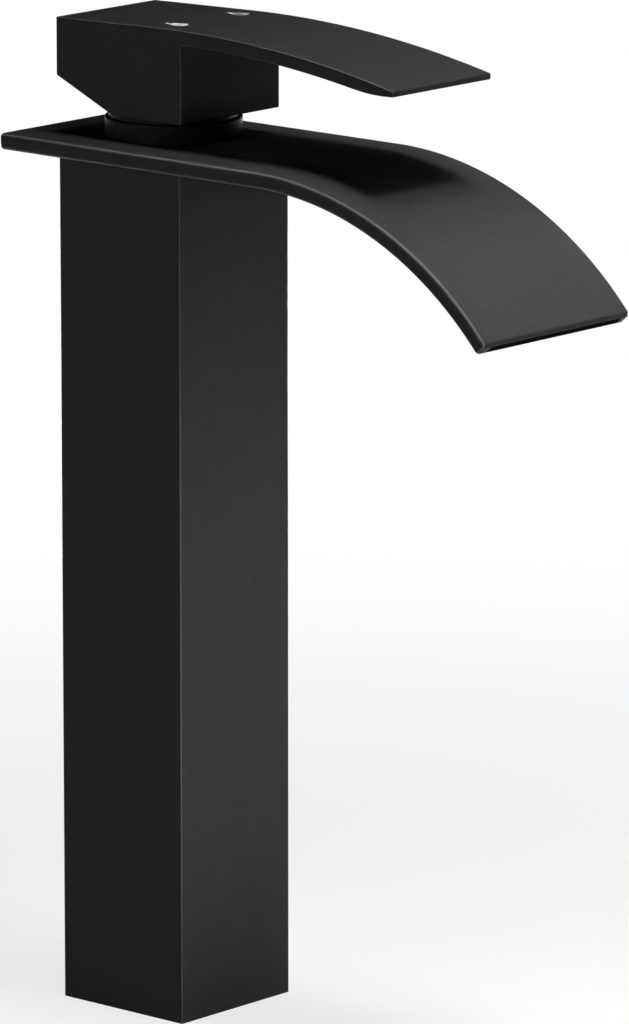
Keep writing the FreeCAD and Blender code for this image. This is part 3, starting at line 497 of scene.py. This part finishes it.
def arc_through(start, middle, end, count):
    """A circular side of an outline through three points, with its normals on the left of its direction."""
    a, b, c = (np.array(p) for p in (start, middle, end))
    system = 2 * np.array([b - a, c - b])
    centre = np.linalg.solve(system, [b @ b - a @ a, c @ c - b @ b])
    first, last = (math.atan2(*(p - centre)[::-1]) for p in (a, c))
    left = np.cross(np.append(b - a, 0), np.append(c - b, 0))[2] > 0
    sweep = (last - first) % (2 * math.pi) if left else -((first - last) % (2 * math.pi))
    turn = first + sweep * np.linspace(0, 1, count)
    outward = np.stack([np.cos(turn), np.sin(turn)], -1)
    return centre + np.linalg.norm(a - centre) * outward, -outward if left else outward


def outward_turn(n0, n1):
    """How far an outline turns outwards from a side that faces n0 to one that faces n1, or 0 if it doesn't."""
    outwards = n0[0] * n1[1] - n0[1] * n1[0] < -math.sin(LEAST_TURN)
    return math.acos(np.clip(n0 @ n1, -1, 1)) if outwards else 0.0


def eased_ring(sides, radius):
    """The inner points and outward normals of an outline whose outer corners are round.

    A side's inner points are its points moved in by the radius. At an outer corner they stop where the two
    moved sides meet, at corner - radius * (n0 + n1) / (1 + n0 . n1), and the normals turn from n0 to n1 there."""
    cores, normals = [], []
    before = sides[-1:] + sides[:-1]
    for (points, facing), (_, previous), (_, following) in zip(sides, before, sides[1:] + sides[:1]):
        kept = np.ones(len(points), bool)
        for end, pair in ((0, (previous[-1], facing[0])), (-1, (facing[-1], following[0]))):
            trim = radius * math.tan(outward_turn(*pair) / 2)
            kept &= np.linalg.norm(points - points[end], axis=1) >= trim
            if trim == 0:
                kept[end] = True
        cores.append((points - radius * facing)[kept])
        normals.append(facing[kept])
        n0, n1 = facing[-1], following[0]
        bend = outward_turn(n0, n1)
        if bend:
            count = max(1, round(ROUND_STEPS * bend / (math.pi / 2))) + 1
            turn = math.atan2(n0[1], n0[0]) - bend * np.linspace(0, 1, count)
            cores.append(np.tile(points[-1] - radius * (n0 + n1) / (1 + n0 @ n1), (count, 1)))
            normals.append(np.stack([np.cos(turn), np.sin(turn)], -1))
    return np.concatenate(cores), np.concatenate(normals)


def lever_top(size, reach):
    """The height of the handle's top at a reach or many: a slope on the block, then a circle that it touches."""
    slope = math.tan(size.top_slope)
    base = size.low + size.rear_height
    centre_reach = size.arc_reach + size.arc_radius * math.sin(size.top_slope)
    centre_height = base + (size.rear_reach + size.arc_reach) * slope - size.arc_radius * math.cos(size.top_slope)
    curved = centre_height + np.sqrt(size.arc_radius ** 2 - (reach - centre_reach) ** 2)
    return np.where(reach < size.arc_reach, base + (size.rear_reach + reach) * slope, curved)


def handle_sides(size):
    """The sides of the handle's outline in (reach, height), from the rear up, forward along the top and back."""
    drop = (size.rear_reach - size.chamfer_reach) * math.tan(size.chamfer_angle)
    rear_low = (-size.rear_reach, size.low + drop)
    rear_top = (-size.rear_reach, size.low + size.rear_height)
    arc_start = (size.arc_reach, lever_top(size, size.arc_reach))
    arc_middle_reach = (size.arc_reach + size.lever_reach) / 2
    arc_middle = (arc_middle_reach, lever_top(size, arc_middle_reach))
    tip_top = (size.lever_reach, lever_top(size, size.lever_reach))
    tip_low = (size.lever_reach, tip_top[1] - size.tip_thickness)
    sweep_reach = size.lever_reach - size.sweep_length
    sweep = (sweep_reach, lever_top(size, sweep_reach) - size.end_thickness)
    dip = ((sweep_reach + size.lever_reach) / 2, (sweep[1] + tip_low[1]) / 2 - size.sweep_dip)
    root_reach = size.front_reach + size.root_round
    root = (root_reach, lever_top(size, root_reach) - size.root_thickness)
    middle_reach = (root_reach + sweep_reach) / 2
    middle = (middle_reach, lever_top(size, middle_reach) - (size.root_thickness + size.end_thickness) / 2)
    slant = size.root_round * (1 - math.cos(math.pi / 4))
    round_middle = (size.front_reach + slant, root[1] - slant)
    round_end = (size.front_reach, root[1] - size.root_round)
    front_low = (size.front_reach, size.low)
    chamfer_end = (-size.chamfer_reach, size.low)
    return [straight(rear_low, rear_top), straight(rear_top, arc_start),
            arc_through(arc_start, arc_middle, tip_top, LEVER_TOP_STEPS),
            straight(tip_top, tip_low), arc_through(tip_low, dip, sweep, SWEEP_STEPS),
            arc_through(sweep, middle, root, LEVER_UNDER_STEPS),
            arc_through(root, round_middle, round_end, ROOT_STEPS),
            straight(round_end, front_low), straight(front_low, chamfer_end), straight(chamfer_end, rear_low)]


def handle_points(size):
    """The handle's outline carried across, drawn in round the edges of both side faces."""
    core, normals = eased_ring(handle_sides(size), size.edge_round)
    inset, out = round_rows(size.edge_round)
    middle = np.linspace(-1, 1, ACROSS_ROWS)[1:-1] * (size.half_width - size.edge_round)
    x = np.concatenate([-size.half_width + inset, middle, size.half_width - inset[::-1]])
    moved = np.concatenate([out, np.full(len(middle), size.edge_round), out[::-1]])
    outline = core + moved[:, None, None] * normals
    return np.stack(np.broadcast_arrays(x[:, None], -outline[..., 0], outline[..., 1]), -1)


def prism(name, half_x, half_y, low, high, centre_y=0.0, ease=0.0):
    """An upright square-ended bar with eased corners, used to cut pockets."""
    points, normals = rectangle_ring(half_x - ease, half_y - ease, steps=4, between=0)
    rings = np.stack([upright_ring(points, normals, ease, height) for height in (low, high)])
    rings[..., 1] += centre_y
    return closed_mesh(name, rings, False)


def barrel(name, radius, start, end, steps=BAR_STEPS):
    """A round bar from one point to another, used to cut holes and to leave bosses."""
    start, end = Vector(start), Vector(end)
    turn = np.linspace(0, 2 * math.pi, steps, endpoint=False)
    ring = np.column_stack([radius * np.cos(turn), radius * np.sin(turn), np.zeros(steps)])
    place = np.array((end - start).to_track_quat("Z", "Y").to_matrix())
    rings = np.stack([ring @ place.T + np.array(point) for point in (start, end)])
    return closed_mesh(name, rings, False)


def handle_mesh(size, marks):
    """The handle with its pocket, the boss around the stem, the set screw's hole and the inlays' recesses."""
    roof = size.low + size.rear_height - size.roof
    rear, front = size.rear_reach - size.end_wall, size.front_reach - size.end_wall
    screw = (CAP_LOW.z + CAP_HIGH.z) / 2
    past = size.rear_reach + CARVE_MARGIN
    pocket = prism("pocket", size.half_width - size.side_wall, (rear + front) / 2, size.low - CARVE_MARGIN, roof,
                   (rear - front) / 2, CARVE_MARGIN)
    pocket = carved(pocket, [barrel("boss", size.boss_radius, (0, 0, size.boss_low), (0, 0, roof + CARVE_MARGIN)),
                             barrel("screw_boss", size.screw_boss_radius, (0, 0, screw), (0, past, screw))])
    socket = STEM_HIGH.x + size.stem_gap
    cuts = [pocket, prism("socket", socket, socket, size.boss_low - CARVE_MARGIN, STEM_HIGH.z + size.stem_gap),
            barrel("screw_hole", size.screw_radius, (0, 0, screw), (0, past, screw)),
            barrel("cap_hole", CAP_HIGH.x + size.stem_gap, (0, CAP_LOW.y, screw), (0, past, screw))]
    cuts += [closed_mesh("recess", drop_rings(size, marks, side, 0.0, CARVE_MARGIN), False) for side in (-1, 1)]
    return carved(closed_mesh("mixer_handle", handle_points(size), False), cuts)


def drop_ring(marks, side, inset):
    """A water drop's outline in (x, reach): most of a circle in front, and straight sides that meet behind.

    The sides touch the circle at the angle whose cosine is radius / tip."""
    radius = marks.radius - inset
    tip = marks.tip * radius / marks.radius
    lean = math.acos(radius / tip)
    turn = np.linspace(-math.pi / 2 + lean, 1.5 * math.pi - lean, DROP_STEPS)
    circle = radius * np.stack([np.cos(turn), np.sin(turn)], -1)
    ring = np.concatenate([circle, [(0.0, -tip)]])
    return ring + (side * marks.offset, marks.reach)


def drop_rings(size, marks, side, inset, rise):
    """A drop's outline carried from the inlay's floor up past the handle's top, which it follows."""
    ring = drop_ring(marks, side, inset)
    top = lever_top(size, ring[:, 1])
    return np.stack([np.column_stack([ring[:, 0], -ring[:, 1], top + height]) for height in (-marks.depth, rise)])


def cap_points():
    """The set screw's plug: a disc whose outer face is a little domed, with a small groove round its rim."""
    radius, depth = CAP_HIGH.x, CAP_HIGH.y - CAP_LOW.y
    groove_in, groove_out, groove_floor = radius * 0.86, radius * 0.92, depth - 0.55 * MM
    dome_fall, rim_in, rim_out = 0.25 * MM, depth - 0.2 * MM, depth - 0.3 * MM
    part = np.linspace(0.02, 1, 8)
    dome = np.stack([groove_in * part, depth - dome_fall * part ** 2], -1)
    rim = [(groove_in, groove_floor), (groove_out, groove_floor), (groove_out, rim_in), (radius, rim_out),
           (radius, 0.0)]
    profile = np.concatenate([dome, rim])
    turn = np.linspace(0, 2 * math.pi, BAR_STEPS, endpoint=False)
    centre = (CAP_LOW.z + CAP_HIGH.z) / 2
    ring = profile[:, None, :]
    return np.stack(np.broadcast_arrays(ring[..., 0] * np.cos(turn), CAP_LOW.y + ring[..., 1],
                                        centre + ring[..., 0] * np.sin(turn)), -1)


class Finish:
    """A new node material: its shader and short ways to add textures that follow the object's own coordinates."""

    def __init__(self, name, **values):
        self.material = bpy.data.materials.new(name)
        self.material.use_nodes = True
        self.tree = self.material.node_tree
        self.shader = self.tree.nodes["Principled BSDF"]
        self.place = self.node("TexCoord").outputs["Object"]
        self.set(**values)

    def node(self, kind, settings=None, **values):
        """A new node of a kind with its settings, and with plain values or links on its inputs."""
        made = self.tree.nodes.new("ShaderNode" + kind)
        for name, value in (settings or {}).items():
            setattr(made, name, value)
        self.feed(made, **values)
        return made

    def feed(self, node, **values):
        """Sets a plain value on each named input of a node, or links another node's output to it."""
        for name, value in values.items():
            socket = node.inputs[name.replace("_", " ")]
            if isinstance(value, bpy.types.NodeSocket):
                self.tree.links.new(value, socket)
            else:
                socket.default_value = value

    def set(self, **values):
        """Sets plain values or links on the shader's own inputs."""
        self.feed(self.shader, **values)

    def noise(self, size, detail=2.0, stretch=(1, 1, 1)):
        """Noise whose features are about a size across, in metres."""
        mapping = self.node("Mapping", Vector=self.place, Scale=stretch)
        return self.node("TexNoise", Vector=mapping.outputs["Vector"], Scale=1 / size, Detail=detail).outputs["Fac"]

    def spread(self, value, low, high, start=0.3, end=0.7):
        """A value carried from one range, which is the usual range of noise if none is given, onto another."""
        node = self.node("MapRange", Value=value, From_Min=start, From_Max=end, To_Min=low, To_Max=high)
        return node.outputs["Result"]

    def combined(self, operation, first, second):
        """The result of a Math node on two values."""
        node = self.node("Math", {"operation": operation})
        self.tree.links.new(first, node.inputs[0])
        self.tree.links.new(second, node.inputs[1])
        return node.outputs[0]

    def blend(self, first, second, amount):
        """A base colour that goes from one colour to another by an amount."""
        result = self.node("Mix", {"data_type": "RGBA"}, A=first, B=second, Factor=amount).outputs["Result"]
        self.set(Base_Color=result)
        return result

    def tint(self, value, tone, change):
        """A base colour that a noise value makes a little darker or lighter."""
        dark, light = ((*[c * scale for c in tone], 1) for scale in (1 - change, 1 + change))
        return self.blend(dark, light, self.spread(value, 0, 1))

    def roughness(self, value, low, high):
        """A roughness that follows a noise value."""
        self.set(Roughness=self.spread(value, low, high))

    def bump(self, value, height, strength):
        """Surface relief from a noise value, with a height in metres, over any relief that is there already."""
        node = self.node("Bump", Height=value, Distance=height, Strength=strength)
        surface = self.shader.inputs["Normal"]
        if surface.is_linked:
            self.feed(node, Normal=surface.links[0].from_socket)
        self.set(Normal=node.outputs["Normal"])


def black_coat(look):
    """Matte black powder coat with a painted highlight: pale lines along the straight edges."""
    finish, tone = plain_coat("black_powder_coat", look, look.coat)
    # Painted highlight: a pale colour along the rounded edges, broken into patches by noise, stands in for light
    # caught by the edges.
    patches = finish.spread(finish.noise(7 * MM, detail=3), low=0.75, high=1.0)
    edges = finish.node("Attribute", {"attribute_name": PAINTED_HIGHLIGHT_SHARE}).outputs["Fac"]
    edges = finish.spread(edges, low=0, high=1, start=look.painted_highlight_sharpness, end=1)
    finish.blend(tone, (*look.painted_edge_highlight, 1), finish.combined("MULTIPLY", edges, patches))
    return finish.material


def shaded_turned_coat(look):
    """A darker copy of the black coat for the round pieces, without the painted edge highlight; its extra darkness
    is painted shade for the bonnet under the handle.
    """
    return plain_coat("shaded_turned_powder_coat", look, look.shaded_turned_coat)[0].material


def plain_coat(name, look, base):
    """Matte black powder coat: a fine orange peel, a finer grain and slow changes of sheen."""
    finish = Finish(name, Specular_IOR_Level=look.coat_gloss)
    slow, stray = finish.noise(28 * MM, detail=3), 0.025
    tone = finish.tint(finish.noise(3 * MM, detail=4), base, change=0.07)
    finish.roughness(slow, low=look.coat_roughness - stray, high=look.coat_roughness + stray)
    finish.bump(finish.noise(0.9 * MM, detail=2), height=0.012 * MM, strength=0.5)
    finish.bump(finish.noise(0.22 * MM, detail=1), height=0.004 * MM, strength=0.4)
    return finish, tone


def silver_inlay(look):
    """Satin silver inlay, faintly brushed across."""
    finish = Finish("silver_inlay", Metallic=0.35)
    brushed = finish.noise(0.5 * MM, detail=3, stretch=(0.06, 1, 1))
    finish.tint(brushed, look.silver, change=0.08)
    finish.roughness(brushed, low=0.46, high=0.58)
    return finish.material


def cast_brass(look):
    """Machined brass casting with a slightly uneven, sandy surface."""
    finish = Finish("cast_brass", Metallic=1.0)
    finish.tint(finish.noise(9 * MM, detail=4), look.brass, change=0.12)
    finish.roughness(finish.noise(2 * MM, detail=3), low=0.28, high=0.44)
    finish.bump(finish.noise(0.5 * MM, detail=3), height=0.02 * MM, strength=0.4)
    return finish.material


def seal_rubber(look):
    """Moulded black rubber with a dull, uneven bloom."""
    finish = Finish("seal_rubber", Specular_IOR_Level=0.35)
    finish.tint(finish.noise(4 * MM, detail=4), look.rubber, change=0.2)
    finish.roughness(finish.noise(1.5 * MM, detail=3), low=0.66, high=0.8)
    finish.bump(finish.noise(0.3 * MM, detail=2), height=0.01 * MM, strength=0.5)
    return finish.material


def cartridge_plastic(look):
    """Light moulded plastic with a fine satin grain."""
    finish = Finish("cartridge_plastic")
    finish.tint(finish.noise(6 * MM, detail=3), look.plastic, change=0.05)
    finish.roughness(finish.noise(2 * MM, detail=3), low=0.4, high=0.5)
    finish.bump(finish.noise(0.25 * MM, detail=2), height=0.006 * MM, strength=0.4)
    return finish.material


def disc_ceramic(look):
    """Lapped ceramic: pale, smooth and faintly mottled."""
    finish = Finish("disc_ceramic")
    finish.tint(finish.noise(1.2 * MM, detail=4), look.ceramic, change=0.04)
    finish.roughness(finish.noise(3 * MM, detail=2), low=0.16, high=0.24)
    return finish.material


def spindle_steel(look):
    """Machined steel with fine turning marks along the height."""
    finish = Finish("spindle_steel", Metallic=1.0)
    marks = finish.noise(0.4 * MM, detail=3, stretch=(0.1, 0.1, 1))
    finish.tint(marks, look.steel, change=0.1)
    finish.roughness(marks, low=0.26, high=0.4)
    return finish.material


FINISH_MAKERS = {"black_coat": black_coat, "shaded_turned_coat": shaded_turned_coat, "body_brass": cast_brass,
                 "seal_rubber": seal_rubber, "cartridge_plastic": cartridge_plastic, "disc_ceramic": disc_ceramic,
                 "spindle_steel": spindle_steel, "cap_plastic": shaded_turned_coat, "silver_inlay": silver_inlay}
FINISHES = {}


def finish_for(context, slot):
    """The material of one of the record's slots, or of the round black pieces, made once."""
    maker = FINISH_MAKERS[slot]
    if maker not in FINISHES:
        FINISHES[maker] = maker(context.scene.mixer_finishes)
    return FINISHES[maker]


class MIXER_OT_column(bpy.types.Operator):
    """Builds the square column."""
    bl_idname = "mixer.column"
    bl_label = "Column"

    def execute(self, context):
        mesh = closed_mesh("mixer_column", column_points(context.scene.mixer_column), True)
        finished(mesh, finish_for(context, "black_coat"), "faucet_body", ["column"])
        return {"FINISHED"}


class MIXER_OT_spout(bpy.types.Operator):
    """Builds the bent spout plate, its outlet slot and the ribs in the slot."""
    bl_idname = "mixer.spout"
    bl_label = "Spout"

    def execute(self, context):
        size = context.scene.mixer_spout
        coat = finish_for(context, "black_coat")
        neck = barrel("neck", size.neck_hole, (0, 0, size.top - size.thickness - CARVE_MARGIN),
                      (0, 0, size.top + CARVE_MARGIN), TURN_STEPS)
        plate = carved(closed_mesh("mixer_spout", spout_points(size), False), [neck])
        finished(plate, coat, "faucet_body", ["spout_tray", "spout_cover"])
        pitch = 2 * size.mouth_half_width / (size.rib_count + 1)
        places = (np.arange(size.rib_count) + 1) * pitch - size.mouth_half_width
        ribs = joined_mesh("mixer_spout_ribs", [closed_mesh("rib", rib_points(size, x), False) for x in places])
        finished(ribs, coat, "faucet_body", [])
        return {"FINISHED"}


class MIXER_OT_bonnet(bpy.types.Operator):
    """Builds the round bonnet between the spout and the handle."""
    bl_idname = "mixer.bonnet"
    bl_label = "Bonnet"

    def execute(self, context):
        mesh = closed_mesh("mixer_bonnet", turned(bonnet_profile(context.scene.mixer_bonnet)), True)
        finished(mesh, finish_for(context, "shaded_turned_coat"), "faucet_body", ["bonnet"])
        return {"FINISHED"}


class MIXER_OT_handle(bpy.types.Operator):
    """Builds the handle's block and lever and the plug at its back."""
    bl_idname = "mixer.handle"
    bl_label = "Handle"

    def execute(self, context):
        coat = finish_for(context, "black_coat")
        mesh = handle_mesh(context.scene.mixer_handle, context.scene.mixer_marks)
        finished(mesh, coat, "lever", ["handle"])
        plug = closed_mesh("mixer_screw_plug", cap_points(), False)
        finished(plug, finish_for(context, "cap_plastic"), "lever", ["set_screw_cap"])
        return {"FINISHED"}


class MIXER_OT_marks(bpy.types.Operator):
    """Builds the filled drop on the hot side and the outlined drop on the cold side."""
    bl_idname = "mixer.marks"
    bl_label = "Marks"

    def execute(self, context):
        size, marks = context.scene.mixer_handle, context.scene.mixer_marks
        silver = finish_for(context, "silver_inlay")
        hot = closed_mesh("mixer_hot_mark", drop_rings(size, marks, -1, 0.0, marks.proud), False)
        finished(hot, silver, "lever", ["hot_mark"])
        outer = drop_rings(size, marks, 1, 0.0, marks.proud)
        inner = drop_rings(size, marks, 1, marks.line, marks.proud)
        cold = closed_mesh("mixer_cold_mark", np.concatenate([outer, inner[::-1]]), True)
        finished(cold, silver, "lever", ["cold_mark"])
        return {"FINISHED"}


class MIXER_OT_inner_pieces(bpy.types.Operator):
    """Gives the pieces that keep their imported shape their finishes."""
    bl_idname = "mixer.inner_pieces"
    bl_label = "Inner pieces"

    def execute(self, context):
        for part in frame["record"]["subparts"]:
            node = frame["nodes"][part["node"]]
            if not node.hide_render:
                node.data.materials.clear()
                node.data.materials.append(finish_for(context, part["material_slot"]))
        return {"FINISHED"}


def softbox(name, watts, aim=MIDDLE, beam=math.pi, tone=(1, 1, 1)):
    """A soft lamp at its place around the point it is aimed at, which may send a narrow or a tinted beam."""
    bearing, rise, distance, width, height = LAMP_PLACES[name]
    lamp = bpy.data.lights.new(name, "AREA")
    lamp.shape, lamp.size, lamp.size_y = "RECTANGLE", width, height
    lamp.energy, lamp.spread, lamp.color = watts, beam, tone
    made = bpy.data.objects.new(name, lamp)
    bpy.context.scene.collection.objects.link(made)
    turn, lift = math.radians(bearing), math.radians(rise)
    ahead = Vector((math.cos(turn) * math.cos(lift), math.sin(turn) * math.cos(lift), math.sin(lift)))
    made.location = aim + distance * ahead
    made.rotation_euler = ahead.to_track_quat("Z", "Y").to_euler()
    made.visible_camera = False


def floor_material(stage):
    """A plain pale matte floor that keeps its shadows near the mixer and fades to plain white away from it."""
    finish = Finish("studio_floor", Specular_IOR_Level=0.0, Roughness=1.0)
    finish.tint(finish.noise(0.6), stage.floor, change=0.005)
    distance = finish.node("VectorMath", {"operation": "LENGTH"}, Vector=finish.place).outputs["Value"]
    fade = finish.spread(distance, stage.least_white, 1, stage.fade_start, stage.fade_end)
    fade.node.interpolation_type = "SMOOTHSTEP"
    rays = finish.node("LightPath").outputs
    seen = rays["Is Camera Ray"]
    for name in ("Is Glossy Ray", "Is Transmission Ray"):
        seen = finish.combined("MAXIMUM", seen, rays[name])
    mixed = finish.node("MixShader", Fac=finish.combined("MULTIPLY", seen, fade))
    finish.tree.links.new(finish.shader.outputs["BSDF"], mixed.inputs[1])
    finish.tree.links.new(finish.node("Emission").outputs["Emission"], mixed.inputs[2])
    finish.feed(finish.tree.nodes["Material Output"], Surface=mixed.outputs["Shader"])
    return finish.material


class MIXER_OT_stage(bpy.types.Operator):
    """Builds the floor, the lamps, the ambient light and the camera."""
    bl_idname = "mixer.stage"
    bl_label = "Stage"

    def execute(self, context):
        scene, stage = context.scene, context.scene.mixer_stage
        steps = np.linspace(-stage.floor_half, stage.floor_half, FLOOR_ROWS)
        x, y = np.meshgrid(steps, steps)
        points = np.stack([x, y, np.full_like(x, -FLOOR_DROP)], -1)
        faces = grid_faces(FLOOR_ROWS, FLOOR_ROWS, close_columns=False)
        mesh = bpy.data.meshes.new("studio_floor")
        mesh.from_pydata(points.reshape(-1, 3).tolist(), [], faces)
        mesh.materials.append(floor_material(stage))
        new_object(mesh)

        softbox("top_softbox", stage.top_light)
        softbox("right_softbox", stage.right_light)
        softbox("front_softbox", stage.front_light)
        softbox("bend_softbox", stage.bend_light)
        for name in ("lever_softbox", "lever_front_softbox"):
            softbox(name, stage.lever_light, LEVER_AIM, stage.lever_beam, stage.lever_tone)
        softbox("column_softbox", stage.column_light, COLUMN_AIM, stage.column_beam)
        for name in ("back_softbox", "right_side_softbox"):
            softbox(name, stage.back_light, COLUMN_AIM, stage.back_beam)
        softbox("left_softbox", stage.left_light, HANDLE_AIM, stage.left_beam)
        softbox("rear_softbox", stage.rear_light)

        world = bpy.data.worlds.new("studio")
        world.use_nodes = True
        backdrop = world.node_tree.nodes["Background"]
        backdrop.inputs["Color"].default_value = (1, 1, 1, 1)
        backdrop.inputs["Strength"].default_value = stage.surround
        scene.world = world
        scene.view_settings.view_transform = "Standard"

        lens = bpy.data.cameras.new("photo_camera")
        lens.sensor_width, lens.lens = CAMERA_SENSOR, CAMERA_LENS
        lens.clip_start, lens.clip_end = CAMERA_NEAR, CAMERA_FAR
        camera = bpy.data.objects.new("photo_camera", lens)
        scene.collection.objects.link(camera)
        camera.location = CAMERA_PLACE
        camera.rotation_euler = (CAMERA_AIM - CAMERA_PLACE).to_track_quat("-Z", "Y").to_euler()
        scene.camera = camera
        return {"FINISHED"}


class MIXER_PT_panel(bpy.types.Panel):
    """Buttons that build the mixer's pieces and its stage."""
    bl_label = "Basin mixer"
    bl_idname = "MIXER_PT_panel"
    bl_space_type = "VIEW_3D"
    bl_region_type = "UI"
    bl_category = "Mixer"

    def draw(self, context):
        for operator in OPERATORS:
            self.layout.operator(operator.bl_idname)


GROUPS = {"mixer_column": MIXER_PG_column, "mixer_spout": MIXER_PG_spout, "mixer_bonnet": MIXER_PG_bonnet,
          "mixer_handle": MIXER_PG_handle, "mixer_marks": MIXER_PG_marks, "mixer_finishes": MIXER_PG_finishes,
          "mixer_stage": MIXER_PG_stage}
OPERATORS = [MIXER_OT_column, MIXER_OT_spout, MIXER_OT_bonnet, MIXER_OT_handle, MIXER_OT_marks,
             MIXER_OT_inner_pieces, MIXER_OT_stage]


def register():
    """Registers the classes and gives the scene its settings."""
    for item in [*GROUPS.values(), *OPERATORS, MIXER_PT_panel]:
        bpy.utils.register_class(item)
    for name, group in GROUPS.items():
        setattr(bpy.types.Scene, name, PointerProperty(type=group))


def unregister():
    """Takes the settings and the classes away again."""
    for name in GROUPS:
        delattr(bpy.types.Scene, name)
    for item in reversed([*GROUPS.values(), *OPERATORS, MIXER_PT_panel]):
        bpy.utils.unregister_class(item)


def main():
    """Builds every piece and the stage."""
    register()
    for operator in OPERATORS:
        group, name = operator.bl_idname.split(".")
        getattr(getattr(bpy.ops, group), name)()


if __name__ == "__main__":
    main()
